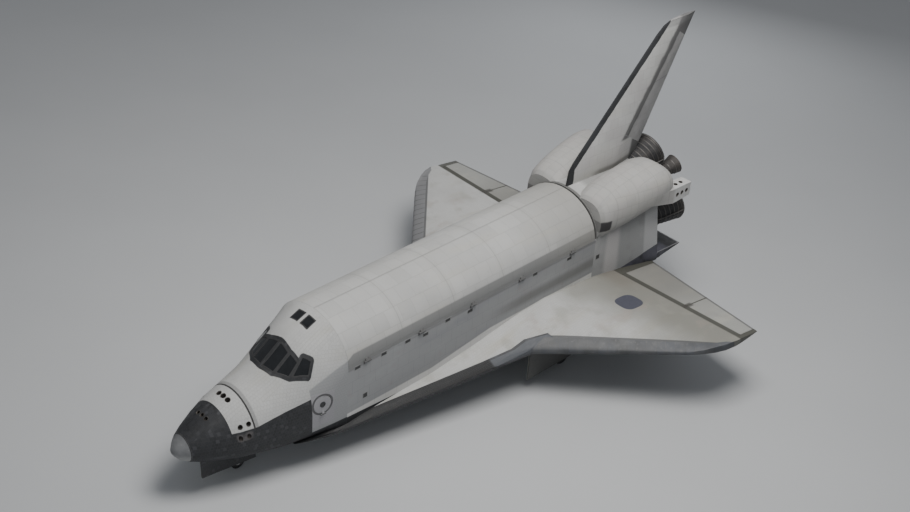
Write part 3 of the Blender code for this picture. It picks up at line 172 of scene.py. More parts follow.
class Finish:
    """One material of the vehicle and all that is wired into it."""

    def __init__(self, name, frame=stance):
        self.frame = frame
        self.material = bpy.data.materials.new(name)
        self.material.use_nodes = True
        self.tree = self.material.node_tree
        self.shader = self.tree.nodes["Principled BSDF"]
        self.known = {}

    def add(self, kind, settings, sockets, out=0):
        """A node of any kind: its settings first, then its sockets' values or wires."""
        node = self.tree.nodes.new(kind)
        for key, value in settings.items():
            setattr(node, key, value)
        for key, value in sockets.items():
            if isinstance(value, Wire):
                self.tree.links.new(value.socket, node.inputs[key])
            else:
                node.inputs[key].default_value = value
        return Wire(self, node.outputs[out])

    def place(self):
        """The x, y and z of each point in the piece's drawing, and all three as one vector."""
        if "place" not in self.known:
            world = self.add("ShaderNodeTexCoord", {}, {}, "Object")
            back = self.frame.inverted()
            sockets = {"Vector": world, "Location": back.translation, "Rotation": back.to_euler()}
            vector = self.add("ShaderNodeMapping", {"vector_type": "POINT"}, sockets)
            axes = [self.add("ShaderNodeSeparateXYZ", {}, {0: vector}, axis) for axis in "XYZ"]
            self.known["place"] = (*axes, vector)
        return self.known["place"]

    def facing(self):
        """The x, y and z of the way each point of the piece faces, at rest."""
        if "facing" not in self.known:
            way = self.add("ShaderNodeTexCoord", {}, {}, "Normal")
            sockets = {"Vector": way, "Rotation": self.frame.inverted().to_euler()}
            way = self.add("ShaderNodeMapping", {"vector_type": "VECTOR"}, sockets)
            axes = [self.add("ShaderNodeSeparateXYZ", {}, {0: way}, axis) for axis in "XYZ"]
            self.known["facing"] = axes
        return self.known["facing"]

    def vector(self, x, y, z=0.0):
        return self.add("ShaderNodeCombineXYZ", {}, {0: x, 1: y, 2: z})

    def noise(self, scale, detail=3.0, stretch=(1, 1, 1)):
        """Cloudy noise fixed to the piece, from 0 to 1; stretch squeezes it along an axis."""
        vector = self.place()[3]
        if stretch != (1, 1, 1):
            vector = self.add("ShaderNodeVectorMath", {"operation": "MULTIPLY"}, {0: vector, 1: stretch})
        return self.add("ShaderNodeTexNoise", {}, {"Vector": vector, "Scale": scale, "Detail": detail})

    def mix(self, share, first, second):
        """The second colour over the first, by a share."""
        colours = [c if isinstance(c, Wire) else (*c[:3], 1.0) for c in (first, second)]
        sockets = {0: share, 6: colours[0], 7: colours[1]}
        return self.add("ShaderNodeMix", {"data_type": "RGBA"}, sockets, 2)

    def over(self, colour, layers):
        """A colour with layers of (mask, colour) laid over it in turn."""
        for mask, shade in layers:
            colour = self.mix(mask, colour, shade)
        return colour

    def shade(self, colour, factor):
        """A colour made lighter or darker by a factor."""
        return self.add("ShaderNodeVectorMath", {"operation": "SCALE"}, {0: colour, "Scale": factor})

    def bump(self, height, depth):
        """A normal from a height pattern, depth metres from 0 to 1."""
        return self.add("ShaderNodeBump", {}, {"Height": height, "Distance": depth, "Strength": 1.0})

    def surface(self, **sockets):
        """Sets the shader's own sockets, by name with underscores for spaces."""
        for key, value in sockets.items():
            socket = self.shader.inputs[key.replace("_", " ")]
            if isinstance(value, Wire):
                self.tree.links.new(value.socket, socket)
            else:
                socket.default_value = value
        return self.material


floor_paint = Finish("studio_floor")
floor_colour = floor_paint.shade(FLOOR_SHADE, floor_paint.noise(0.12, 5.0).vary(0.08))
floor_paint.surface(Base_Color=floor_colour, Roughness=0.85)
floor_mesh = bpy.data.meshes.new("studio_floor")
floor_corners = [(x * FLOOR_HALF, y * FLOOR_HALF, 0) for x, y in ((-1, -1), (1, -1), (1, 1), (-1, 1))]
floor_mesh.from_pydata(floor_corners, [], [(0, 1, 2, 3)])
floor_mesh.materials.append(floor_paint.material)
floor = bpy.data.objects.new("studio_floor", floor_mesh)
bpy.context.scene.collection.objects.link(floor)


def soft_box(name, place, size, power, tint):
    """A square area light turned to the vehicle's middle."""
    light = bpy.data.lights.new(name, "AREA")
    light.size = size
    light.energy = power
    light.color = tint
    lamp = bpy.data.objects.new(name, light)
    bpy.context.scene.collection.objects.link(lamp)
    lamp.location = place
    lamp.rotation_euler = (CRANE_AIM - Vector(place)).to_track_quat("-Z", "Y").to_euler()


soft_box("overhead_box", (2, 11, 47), 24, 19800, (1.0, 0.985, 0.96))
soft_box("forward_box", (50, 26, 20), 22, 2600, (0.92, 0.96, 1.0))
soft_box("aft_box", (-52, -26, 24), 24, 3600, (0.94, 0.97, 1.0))
room = bpy.context.scene.world or bpy.data.worlds.new("studio_room")
bpy.context.scene.world = room
room.use_nodes = True
room.node_tree.nodes["Background"].inputs["Color"].default_value = (0.80, 0.83, 0.88, 1)
room.node_tree.nodes["Background"].inputs["Strength"].default_value = 0.24

# The forward body
# Plate and frames of aluminium under silica tiles 150 mm square, glued on felt with narrow gaps:
# white over the crew cabin, black on the nose, in a band that ends ahead of the hatch, and on the belly.
TILE = 0.152
TILE_GAP = 0.004
WHITE = (0.52, 0.52, 0.51)
AGED_WHITE = (0.47, 0.455, 0.40)
BLACK = (0.029, 0.030, 0.033)
GAP_SHADE = (0.09, 0.09, 0.09)
SPOT_GREY = (0.27, 0.28, 0.29)
PALE_BLACK_TILE = (0.11, 0.11, 0.12)
DUSTY_BLACK = (0.15, 0.15, 0.15)
BLACK_NOSE_X = 15.95
BAND_AFT_X = 11.89
BAND_FRONT_X = 14.70
BAND_FRONT_Z = 4.69
BAND_AFT_Z = 5.24
BELLY_LINE_Z = 3.25
PAINT_EDGE = 0.012
MODULE_JOINT_X = (14.64, 14.84)
HATCH_PATCH_X = (10.62, BAND_AFT_X)
HATCH_PATCH_Z = (3.5, 5.42)
HATCH_RING = (0.015, 0.115)
JET_SOOT_X = (14.95, 15.80)
JET_SOOT_Z = (4.20, 4.62)
# The flanks' grey: their felt and blankets, painted darker as painted shade.
SIDE_GREY_AND_SHADE = (0.315, 0.32, 0.325)
SIDE_TOP_Z = 6.90
SIDE_FRONT = (11.55, 5.86)
SIDE_SLOPE = 0.48
CABIN_AXIS_Z = 4.5
CABIN_PAINT = (0.30, 0.34, 0.31)
WELL_PAINT = (0.34, 0.36, 0.28)
NOSE_WELL = ((14.15, 17.40), (0.0, 0.742), (2.4, 3.97))
HATCH_X = 11.30
HATCH_Z = 4.74
HATCH_RADIUS = 0.49
PANES = {
    "centre": ((13.08, 0.08), (12.96, 0.76), (11.98, 0.74), (11.90, 0.08)),
    "middle": ((12.90, 0.86), (12.52, 1.42), (11.90, 1.34), (11.94, 0.84)),
    "side": ((12.40, 1.52), (11.72, 1.94), (11.34, 1.70), (11.60, 1.34)),
    "overhead": ((10.74, 0.12), (10.74, 0.62), (10.20, 0.62), (10.20, 0.12)),
}
PANE_SURROUND = {"centre": 0.17, "middle": 0.14, "side": 0.12, "overhead": 0.0}


def shade_smooth(obj, angle):
    """Smooth shading up to an edge angle, with a skin's split corners merged first."""
    group = bpy.data.node_groups.get("smooth_skin")
    if group is None:
        group = bpy.data.node_groups.new("smooth_skin", "GeometryNodeTree")
        group.interface.new_socket("Geometry", in_out="INPUT", socket_type="NodeSocketGeometry")
        group.interface.new_socket("Angle", in_out="INPUT", socket_type="NodeSocketFloat")
        group.interface.new_socket("Geometry", in_out="OUTPUT", socket_type="NodeSocketGeometry")
        start, end, plain, merge, faces, edges, bend, sharp = (
            group.nodes.new(kind)
            for kind in (
                "NodeGroupInput", "NodeGroupOutput", "GeometryNodeRemoveAttribute",
                "GeometryNodeMergeByDistance", "GeometryNodeSetShadeSmooth", "GeometryNodeSetShadeSmooth",
                "GeometryNodeInputMeshEdgeAngle", "FunctionNodeCompare",
            )
        )
        plain.inputs["Name"].default_value = "custom_normal"
        merge.inputs["Distance"].default_value = 0.0001
        edges.domain = "EDGE"
        edges.inputs["Shade Smooth"].default_value = False
        sharp.data_type = "FLOAT"
        sharp.operation = "GREATER_THAN"
        for source, target in (
            (start.outputs["Geometry"], plain.inputs["Geometry"]),
            (plain.outputs["Geometry"], merge.inputs["Geometry"]),
            (merge.outputs["Geometry"], faces.inputs["Geometry"]),
            (faces.outputs["Geometry"], edges.inputs["Geometry"]),
            (bend.outputs["Unsigned Angle"], sharp.inputs[0]),
            (start.outputs["Angle"], sharp.inputs[1]),
            (sharp.outputs["Result"], edges.inputs["Selection"]),
            (edges.outputs["Geometry"], end.inputs["Geometry"]),
        ):
            group.links.new(source, target)
    modifier = obj.modifiers.new("smooth_skin", "NODES")
    modifier.node_group = group
    modifier["Socket_1"] = math.radians(angle)


def coat(node, finish, angle=32):
    """Gives a piece of the frame its finish and smooth shading."""
    obj = nodes[node]
    obj.data.materials.clear()
    obj.data.materials.append(finish.material)
    shade_smooth(obj, angle)


def tile_grid(finish, across, along, size, gap):
    """Staggered square tiles: 1 in the gaps, and a number from 0 to 1 for each tile."""
    sockets = {
        "Vector": finish.vector(across, along), "Color1": (0, 0, 0, 1), "Color2": (1, 1, 1, 1),
        "Mortar": (0.5, 0.5, 0.5, 1), "Scale": 1.0, "Mortar Size": gap, "Mortar Smooth": 0.1,
        "Brick Width": size, "Row Height": size,
    }
    tone = finish.add("ShaderNodeTexBrick", {"offset": 0.5}, sockets, "Color")
    return Wire(finish, tone.socket.node.outputs["Fac"]), tone


def flank_or_top(finish):
    """The coordinate across the tile rows: y where the skin faces up or down, z where it faces aside."""
    _, y, z, _ = finish.place()
    _, ny, nz = finish.facing()
    flat = nz.maths("GREATER_THAN", abs(nz), abs(ny))
    return z + (y - z) * flat


def tiles(finish, black, stains_light_and_shade=(), patches=(), across=None, along=None, warmth=0.5, white=WHITE,
          bare=0.0):
    """The tile coat: white, stained and painted with light and shade, black by a mask, patches over both,
    bare without gaps.
    """
    x = finish.place()[0] if across is None else across
    gaps, tone = tile_grid(finish, x, flank_or_top(finish) if along is None else along, TILE, TILE_GAP)
    gaps = gaps * (1 - bare)
    clouds = finish.noise(0.45, 4.0)
    streaks = finish.noise(1.3, 4.0, (0.16, 1, 1))
    spots = finish.noise(2.6, 3.0)
    pale = finish.over(finish.shade(white, clouds.vary(0.30) * tone.vary(0.05)), (
        (streaks.rise(0.48, 0.78) * warmth, AGED_WHITE),
        (spots.rise(0.63, 0.80) * 0.22, SPOT_GREY),
        *stains_light_and_shade,
    ))
    dark = finish.over(finish.shade(BLACK, tone.vary(0.5) * clouds.vary(0.6)), (
        (tone.rise(0.90, 0.95) * 0.25, PALE_BLACK_TILE),
        (streaks.rise(0.55, 0.80) * 0.20, DUSTY_BLACK),
    ))
    colour = finish.over(finish.mix(black, pale, dark), (*patches, (gaps * 0.26, GAP_SHADE)))
    height = (1 - gaps) + tone * 0.12 + finish.noise(28.0, 2.0) * 0.10
    return finish.surface(
        Base_Color=colour,
        Roughness=0.76 - black * 0.20 + tone * 0.10,
        Normal=finish.bump(height, 0.005),
    )


def shaded_grey_side(finish):
    """1 on the flanks' felt and older blankets, greyer than the top, and painted greyer still as painted
    shade.
    """
    x, _, z, _ = finish.place()
    line = SIDE_TOP_Z & (SIDE_FRONT[1] + (SIDE_FRONT[0] - x) * SIDE_SLOPE)
    return (line - z).rise(-0.05, 0.05) * x.rise(BAND_AFT_X + 0.02, BAND_AFT_X - 0.02)


def facing_in(finish, axis_z):
    """1 on faces that look towards the body's middle line."""
    _, y, z, _ = finish.place()
    _, ny, nz = finish.facing()
    return (y * ny + (z - axis_z) * nz).rise(-0.02, -0.06)


def in_box(finish, spans):
    """1 inside a box of level spans, the same on both sides of the vehicle."""
    x, y, z, _ = finish.place()
    masks = [v.span(low, high, 0.001) for v, (low, high) in zip((x, abs(y), z), spans)]
    return masks[0] * masks[1] * masks[2]


def pane_edges(corners):
    """Each edge of a pane's plan outline: its start, and its way along and outwards."""
    middle = (Vector(corners[0]) + Vector(corners[2])) / 2
    for start, end in pairwise((*corners, corners[0])):
        run = (Vector(end) - Vector(start)).normalized()
        out = Vector((run.y, -run.x))
        if out.dot(Vector(start) - middle) < 0:
            out = -out
        yield Vector(start), run, out


def near_panes(finish):
    """1 on the black tiles that ring the windows."""
    x, y, z, _ = finish.place()
    near = 0.0
    for pane, corners in PANES.items():
        away = 0.0
        for start, _, out in pane_edges(corners):
            past = (x * out.x + abs(y) * out.y - out.dot(start)) | 0.0
            away = past * past + away
        near = away.root().rise(PANE_SURROUND[pane] + 0.02, PANE_SURROUND[pane] - 0.01) | near
    return near * z.rise(5.2, 5.3)


nose_tiles = Finish("nose_tiles")
x, y, z, _ = nose_tiles.place()
band_slope = (BAND_AFT_Z - BAND_FRONT_Z) / (BAND_FRONT_X - BAND_AFT_X)
band_edge = BAND_FRONT_Z | (BAND_FRONT_Z + (BAND_FRONT_X - x) * band_slope)
band = (z - band_edge).rise(PAINT_EDGE, -PAINT_EDGE)
band = band * x.rise(BAND_AFT_X - 0.01, BAND_AFT_X + 0.01)
black_nose = x.rise(BLACK_NOSE_X - PAINT_EDGE, BLACK_NOSE_X + PAINT_EDGE)
belly = z.rise(BELLY_LINE_Z + PAINT_EDGE, BELLY_LINE_Z - PAINT_EDGE)
hatch_surround = x.span(*HATCH_PATCH_X) * z.span(*HATCH_PATCH_Z)
hatch_surround = hatch_surround * y.rise(0.5, 0.6)
hatch_reach = ((x - HATCH_X) * (x - HATCH_X) + (z - HATCH_Z) * (z - HATCH_Z)).root()
hatch_ring = (hatch_reach - HATCH_RADIUS).span(*HATCH_RING) * hatch_surround
nose_stains_and_shade = (
    # painted shade on the flank, then a dark joint and the hatch panel's own colour
    (shaded_grey_side(nose_tiles) * 0.9, SIDE_GREY_AND_SHADE),
    (x.span(*MODULE_JOINT_X, 0.03) * 0.55, (0.20, 0.20, 0.20)),
    (hatch_surround * 0.70, (0.36, 0.35, 0.37)),
)
side_jets = x.span(*JET_SOOT_X, 0.16) * z.span(*JET_SOOT_Z, 0.12)
side_jets = (side_jets * nose_tiles.noise(3.4, 5.0)).rise(0.18, 0.52)
nose_well = in_box(nose_tiles, NOSE_WELL)
nose_patches = (
    (side_jets * 0.75, (0.125, 0.115, 0.115)),
    (hatch_ring * 0.85, (0.070, 0.068, 0.070)),
    (facing_in(nose_tiles, CABIN_AXIS_Z), CABIN_PAINT),
    (nose_well, WELL_PAINT),
)
inner_plate = facing_in(nose_tiles, CABIN_AXIS_Z) | nose_well
black_nose = black_nose | band | belly | near_panes(nose_tiles)
tiles(nose_tiles, black_nose, nose_stains_and_shade, nose_patches, bare=inner_plate)
for node in ("forward_fuselage", "thruster_module", "side_hatch"):
    coat(node, nose_tiles)


# The thrusters of the nose
# Scarfed nozzles of silica-coated niobium, sunk flush in the tiles.
# Three fire up, three fire forward and four fire to each side.
THROAT_SHADES = ((0.020, 0.018, 0.017), (0.075, 0.066, 0.060))
LIP_SHADES = ((0.09, 0.085, 0.08), (0.24, 0.22, 0.20))
MODULE_SEAM_X = 14.80
MODULE_FRONT_X = 16.0
MODULE_LOW_Z = 4.62
TOP_THRUSTERS = tuple((15.36, y, (0, 0, 1), 0.135) for y in (-0.34, 0.0, 0.34))
FORWARD_THRUSTERS = tuple((16.62, y, (0.80, 0, 0.60), 0.105) for y in (-0.30, 0.0, 0.30))
SIDE_THRUSTERS = (
    (15.50, 4.90, (0, 1, 0.05), 0.115), (15.08, 4.94, (0, 1, 0.05), 0.115),
    (15.62, 4.40, (0, 0.86, -0.5), 0.105), (15.20, 4.40, (0, 0.86, -0.5), 0.105),
)
THRUSTER_DEPTH = 0.24
SQUARE_ENOUGH = 0.85


def in_level(*names):
    """The skin of pieces of the frame, level, as a tree that lines can be cast on."""
    mesh = bmesh.new()
    for name in names:
        mesh.from_mesh(nodes[name].data)
    mesh.transform(level)
    tree = BVHTree.FromBMesh(mesh)
    mesh.free()
    return tree


def cast(tree, origin, direction):
    """Where a line first meets a skin, and the way the skin faces there."""
    place, normal, _, _ = tree.ray_cast(Vector(origin), Vector(direction).normalized())
    return place, normal


def from_above(tree, x, y):
    """The skin under a point of the plan."""
    return cast(tree, (x, y, 12), (0, 0, -1))


def from_side(tree, x, z, side):
    """The skin met from abeam, on one side, at an x and z."""
    return cast(tree, (x, side * 6, z), (0, -side, 0))


def axle_at(origin, direction):
    """A place whose X axis points in a direction."""
    ahead = Vector(direction).normalized()
    side = Vector((0, 0, 1)).cross(ahead)
    if side.length < 0.05:
        side = Vector((0, 1, 0)).cross(ahead)
    side.normalize()
    turn = Matrix((ahead, side, ahead.cross(side))).transposed().to_4x4()
    turn.translation = origin
    return turn


def lace(mesh, rings):
    """Joins each ring of corners to the next with faces; a ring of one corner closes the end."""
    for near, far in pairwise(rings):
        steps = max(len(near), len(far))
        for i in range(steps):
            j = (i + 1) % steps
            corners = [near[i % len(near)], near[j % len(near)], far[j % len(far)], far[i % len(far)]]
            corners = [corner for k, corner in enumerate(corners) if corner is not corners[k - 1]]
            if len(corners) > 2:
                mesh.faces.new(corners)


def turned(mesh, profile, steps, place, closed=False):
    """A turned surface about a place's X axis, from (distance, radius) points; a radius of 0 closes it."""
    rings = []
    for distance, radius in profile:
        angles = [math.tau * i / steps for i in range(steps if radius > 1e-6 else 1)]
        spots = [Vector((distance, radius * math.cos(a), radius * math.sin(a))) for a in angles]
        rings.append([mesh.verts.new(place @ spot) for spot in spots])
    lace(mesh, rings + rings[:1] if closed else rings)


def shape(name, mesh, finish):
    """An object of one finish, from a mesh made in level metres, tipped to the stance."""
    bmesh.ops.recalc_face_normals(mesh, faces=mesh.faces)
    mesh.transform(stance)
    data = bpy.data.meshes.new(name)
    mesh.to_mesh(data)
    mesh.free()
    data.materials.append(finish.material)
    piece = bpy.data.objects.new(name, data)
    bpy.context.scene.collection.objects.link(piece)
    return piece


def build(name, mesh, finish, body, stand_for=(), angle=32):
    """A piece hung on a body, smooth up to an edge angle; it may stand for pieces of the frame."""
    piece = shape(name, mesh, finish)
    piece.data.shade_smooth()
    piece.data.set_sharp_from_angle(angle=math.radians(angle))
    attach(piece, body)
    if stand_for:
        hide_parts(*stand_for)


def carve(node, name, mesh, finish):
    """Sinks holes of a finish into a piece of the frame."""
    cutter = shape(name, mesh, finish)
    cutter.hide_render = True
    cutter.hide_viewport = True
    modifiers = nodes[node].modifiers
    cut = modifiers.new(name, "BOOLEAN")
    cut.operation = "DIFFERENCE"
    cut.solver = "EXACT"
    cut.use_self = True
    cut.material_mode = "TRANSFER"
    cut.object = cutter
    modifiers.new("weld_corners", "WELD").merge_threshold = 0.0001
    for _ in range(2):
        modifiers.move(len(modifiers) - 1, 0)


def worn(name, patches, shades, roughness, metallic=0.0, grain=40.0, depth=0.001):
    """A plain finish: two shades mixed by worn patches of (scale, detail), with a fine grain."""
    finish = Finish(name)
    wear = finish.noise(*patches)
    finish.surface(
        Base_Color=finish.mix(wear, *shades),
        Roughness=roughness[0] + wear * roughness[1],
        Metallic=metallic,
        Normal=finish.bump(finish.noise(grain), depth),
    )
    return finish


throat_metal = Finish("thruster_metal")
soot = throat_metal.noise(9.0, 4.0)
throat_metal.surface(
    Base_Color=throat_metal.mix(soot, *THROAT_SHADES),
    Roughness=0.55 + soot * 0.25,
    Metallic=0.55,
    Normal=throat_metal.bump(soot, 0.004),
)
lip_metal = worn("thruster_lip", (7.0, 3.0), LIP_SHADES, (0.45, 0.2), 0.7, 60.0)


def thruster_places(tree):
    """The mouth, the way it fires and its radius, for each thruster of the nose."""
    for x, y, fire, radius in TOP_THRUSTERS + FORWARD_THRUSTERS:
        yield (*from_above(tree, x, y), Vector(fire).normalized(), radius)
    for x, z, fire, radius in SIDE_THRUSTERS:
        for _, side in SIDES:
            aim = Vector((fire[0], side * fire[1], fire[2])).normalized()
            yield (*from_side(tree, x, z, side), aim, radius)


nose_skin = in_level("forward_fuselage", "thruster_module")
module_holes = bmesh.new()
forward_holes = bmesh.new()
lips = bmesh.new()
for mouth, facing, fire, radius in thruster_places(nose_skin):
    profile = (
        (-THRUSTER_DEPTH, 0.0), (-THRUSTER_DEPTH, radius * 0.42), (-0.10, radius * 0.82),
        (0.0, radius), (0.20, radius * 1.05), (0.20, 0.0),
    )
    holes = module_holes if mouth.x < MODULE_FRONT_X and mouth.z > MODULE_LOW_Z else forward_holes
    turned(holes, profile, 20, axle_at(mouth, fire))
    lip = (
        (-0.030, radius * 0.93), (0.004, radius * 1.0), (0.008, radius * 1.03), (0.006, radius * 1.12),
        (-0.012, radius * 1.14),
    )
    if fire.dot(facing) > SQUARE_ENOUGH:
        turned(lips, lip, 24, axle_at(mouth, facing), closed=True)
carve("thruster_module", "module_thruster_holes", module_holes, throat_metal)
carve("forward_fuselage", "forward_thruster_holes", forward_holes, throat_metal)
build("nose_thruster_lips", lips, lip_metal, "airframe")

# The nose cap
# One moulded cap of reinforced carbon, grey and faintly glassy from its silicon carbide coat.
# It is bolted to a bulkhead from inside and meets the tiles at a row of dark seal strips.
CARBON_LOW = (0.115, 0.118, 0.122)
CARBON_HIGH = (0.215, 0.217, 0.22)
CARBON_SPOT = (0.30, 0.30, 0.29)
SEAL_SHADES = ((0.022, 0.022, 0.023), (0.060, 0.058, 0.056))
NOSE_CAP_X = 17.80


def carbon_coat(finish, tint=1.0, patches=()):
    """Grey coated carbon, mottled, with faint drips and a fine craze, and a painted highlight where it faces
    up.
    """
    clouds = finish.noise(1.1, 5.0)
    spots = finish.noise(6.0, 4.0)
    colour = finish.mix(clouds.rise(0.30, 0.70), CARBON_LOW, CARBON_HIGH)
    colour = finish.mix(spots.rise(0.56, 0.72) * 0.35, colour, CARBON_SPOT)
    colour = finish.shade(colour, tint)
    _, _, up = finish.facing()
    # painted highlight: faces that look up are painted twice as light
    painted_top_highlight = (up.rise(0.80, 1.0) * 0.9, finish.shade(colour, 2.0))
    return finish.surface(
        Base_Color=finish.over(colour, (painted_top_highlight, *patches)),
        Roughness=0.46 + clouds * 0.22,
        Normal=finish.bump(spots + finish.noise(55.0) * 0.3, 0.003),
    )


def peeled(node, keep):
    """A level copy of a piece's own skin, of the faces whose middle and normal pass a test."""
    skin = bmesh.new()
    skin.from_mesh(nodes[node].data)
    skin.transform(level)
    bmesh.ops.remove_doubles(skin, verts=skin.verts, dist=0.0002)
    hidden = [face for face in skin.faces if not keep(face.calc_center_median(), face.normal)]
    bmesh.ops.delete(skin, geom=hidden, context="FACES")
    return skin


def thicken_into(mesh, skin, thickness):
    """Gives a skin its thickness, adds it to a mesh, and returns its corners."""
    bmesh.ops.solidify(skin, geom=skin.faces[:], thickness=thickness)
    corners = [vert.co.copy() for vert in skin.verts]
    data = bpy.data.meshes.new("skin")
    skin.to_mesh(data)
    skin.free()
    mesh.from_mesh(data)
    bpy.data.meshes.remove(data)
    return corners


def strip(mesh, node, place, way, width, lift, thickness, keep):
    """Adds a strip that follows a piece's own skin, between two planes, and stands proud of it."""
    skin = peeled(node, keep)
    way = Vector(way).normalized()
    for sign in (1, -1):
        geom = skin.verts[:] + skin.edges[:] + skin.faces[:]
        edge = Vector(place) + way * (sign * width / 2)
        bmesh.ops.bisect_plane(skin, geom=geom, plane_co=edge, plane_no=way * sign, clear_outer=True)
    skin.normal_update()
    for vert in skin.verts:
        vert.co += vert.normal * lift
    thicken_into(mesh, skin, thickness)


cap_carbon = Finish("nose_cap_carbon")
_, _, z, _ = cap_carbon.place()
# painted highlight: the cap is painted lighter towards its bottom
cap_painted_highlight = ((z.rise(4.02, 3.70) * 0.45, (0.36, 0.36, 0.35)),)
carbon_coat(cap_carbon, 1.12, cap_painted_highlight)
coat("nose_cap", cap_carbon)
seal_strip = worn("seal_strip", (5.0, 4.0), SEAL_SHADES, (0.70, 0.15), grain=30.0, depth=0.002)
seals = bmesh.new()
strip(seals, "nose_cap", (NOSE_CAP_X + 0.022, 0, 0), (1, 0, 0), 0.034, 0.004, 0.008,
      lambda middle, normal: middle.x > NOSE_CAP_X - 0.02 and abs(normal.x) < 0.95)
strip(seals, "thruster_module", (MODULE_SEAM_X + 0.045, 0, 0), (1, 0, 0), 0.080, 0.002, 0.008,
      lambda middle, normal: abs(normal.x) < 0.8 and normal.z > -0.5)
build("nose_seals", seals, seal_strip, "airframe")

# Windows
# Three panes of fused silica in each opening, coated against glare, so from outside they look black.
# Each opening is ringed by a bolted metal retainer and by black tiles.
RETAINER_SHADES = ((0.026, 0.026, 0.028), (0.065, 0.065, 0.066))
RETAINER_SECTION = (
    (-0.034, True, 0.002), (-0.030, True, 0.012), (-0.010, True, 0.017), (0.014, False, 0.006),
    (0.034, False, 0.005), (0.040, False, -0.004),
)
POINTS_PER_EDGE = 8
window_glass = Finish("window_glass")
smear = window_glass.noise(3.0, 4.0)
window_glass.surface(
    Base_Color=window_glass.mix(smear, (0.010, 0.011, 0.013), (0.018, 0.020, 0.022)),
    Roughness=0.10 + smear * 0.16,
    Coat_Weight=0.25,
)
retainer_metal = worn("window_retainer", (8.0, 4.0), RETAINER_SHADES, (0.62, 0.2), 0.2, depth=0.002)


def offset_outline(corners, grow, side):
    """A plan outline grown by a distance, with points along each edge, on one side of the vehicle."""
    lines = [(start + out * grow, run) for start, run, out in pane_edges(corners)]
    grown = []
    for (before, way), (after, turn) in zip([lines[-1], *lines[:-1]], lines):
        gap = after - before
        share = (gap.x * turn.y - gap.y * turn.x) / (way.x * turn.y - way.y * turn.x)
        grown.append(before + way * share)
    points = []
    for start, end in pairwise((*grown, grown[0])):
        points += [start.lerp(end, i / POINTS_PER_EDGE) for i in range(POINTS_PER_EDGE)]
    return [Vector((point.x, point.y * side)) for point in points]


for side, sign in SIDES:
    for pane, corners in PANES.items():
        node = f"{side}_{pane}_window"
        coat(node, window_glass)
        pane_skin = in_level(node)
        frame_mesh = bmesh.new()
        loops = []
        for grow, over_pane, lift in RETAINER_SECTION:
            loop = []
            for point in offset_outline(corners, grow, sign):
                spot, normal = from_above(pane_skin if over_pane else nose_skin, point.x, point.y)
                if spot is None:
                    spot, normal = from_above(nose_skin, point.x, point.y)
                loop.append(frame_mesh.verts.new(spot + normal * lift))
            loops.append(loop)
        lace(frame_mesh, loops)
        build(f"{side}_{pane}_retainer", frame_mesh, retainer_metal, "airframe")

# The side hatch
# A round plug door with a window; its hinges are along its lower edge, inside the skin.
# A ring of black tiles surrounds it, and its latches and handle are on the inner face.
HATCH_LATCHES = 12
GRIP_LINE = ((0, -0.10, 0.26), (0.06, -0.10, 0.26), (0.07, 0, 0.26), (0.06, 0.10, 0.26), (0, 0.10, 0.26))
FITTING_SHADES = ((0.36, 0.37, 0.36), (0.52, 0.53, 0.52))


def pipe(mesh, points, radius, steps=8):
    """A round tube along a line of points, its ends closed."""
    points = [Vector(point) for point in points]
    side = Vector((0.31, 0.22, 0.93))
    rings = []
    for i, point in enumerate(points):
        ahead = (points[min(i + 1, len(points) - 1)] - points[max(i - 1, 0)]).normalized()
        side = (side - ahead * side.dot(ahead)).normalized()
        rise = ahead.cross(side)
        angles = [math.tau * k / steps for k in range(steps)]
        offsets = [(side * math.cos(a) + rise * math.sin(a)) * radius for a in angles]
        rings.append([mesh.verts.new(point + offset) for offset in offsets])
    lace(mesh, rings)
    mesh.faces.new(rings[0])
    mesh.faces.new(rings[-1])


def block(mesh, place, size, bevel=0.0):
    """A block with broken edges, its middle at a place."""
    made = bmesh.ops.create_cube(mesh, size=1.0, matrix=place @ Matrix.Diagonal((*size, 1)))
    if bevel:
        edges = list({edge for vert in made["verts"] for edge in vert.link_edges})
        bmesh.ops.bevel(mesh, geom=edges, offset=bevel, segments=2, profile=0.6, affect="EDGES")


hatch_skin = in_level("side_hatch")
hatch_middle, hatch_facing = from_side(hatch_skin, HATCH_X, HATCH_Z, 1)
hatch_place = axle_at(hatch_middle, hatch_facing)
hatch_window = bmesh.new()
turned(hatch_window, ((0.004, 0.0), (0.004, 0.118), (-0.010, 0.125)), 32, hatch_place)
build("hatch_window", hatch_window, window_glass, "side_hatch")
hatch_rings = bmesh.new()
window_rim = ((-0.006, 0.112), (0.012, 0.116), (0.014, 0.128), (0.010, 0.160), (-0.004, 0.165))
turned(hatch_rings, window_rim, 36, hatch_place, closed=True)
build("hatch_window_rim", hatch_rings, retainer_metal, "side_hatch")
hatch_fittings = bmesh.new()
inner_middle, inner_facing = cast(hatch_skin, hatch_middle - hatch_facing * 0.6, hatch_facing)
inner_place = axle_at(inner_middle, inner_facing)
inner_rim = ((0.0, 0.13), (0.014, 0.13), (0.020, 0.15), (0.014, 0.19), (0.0, 0.19))
turned(hatch_fittings, inner_rim, 36, inner_place)
for i in range(HATCH_LATCHES):
    spoke = inner_place @ Matrix.Rotation(math.tau * i / HATCH_LATCHES, 4, "X")
    block(hatch_fittings, spoke @ Matrix.Translation((0.016, 0, 0.30)), (0.022, 0.030, 0.20), 0.005)
    block(hatch_fittings, spoke @ Matrix.Translation((0.020, 0, 0.415)), (0.032, 0.075, 0.050), 0.008)
grip = inner_place @ Matrix.Rotation(math.radians(15), 4, "X")
pipe(hatch_fittings, [grip @ Vector(point) for point in GRIP_LINE], 0.012)
fitting_metal = worn("hatch_fitting_metal", (12.0, 4.0), FITTING_SHADES, (0.38, 0.2), 0.75, 80.0)
build("hatch_latches", hatch_fittings, fitting_metal, "side_hatch")

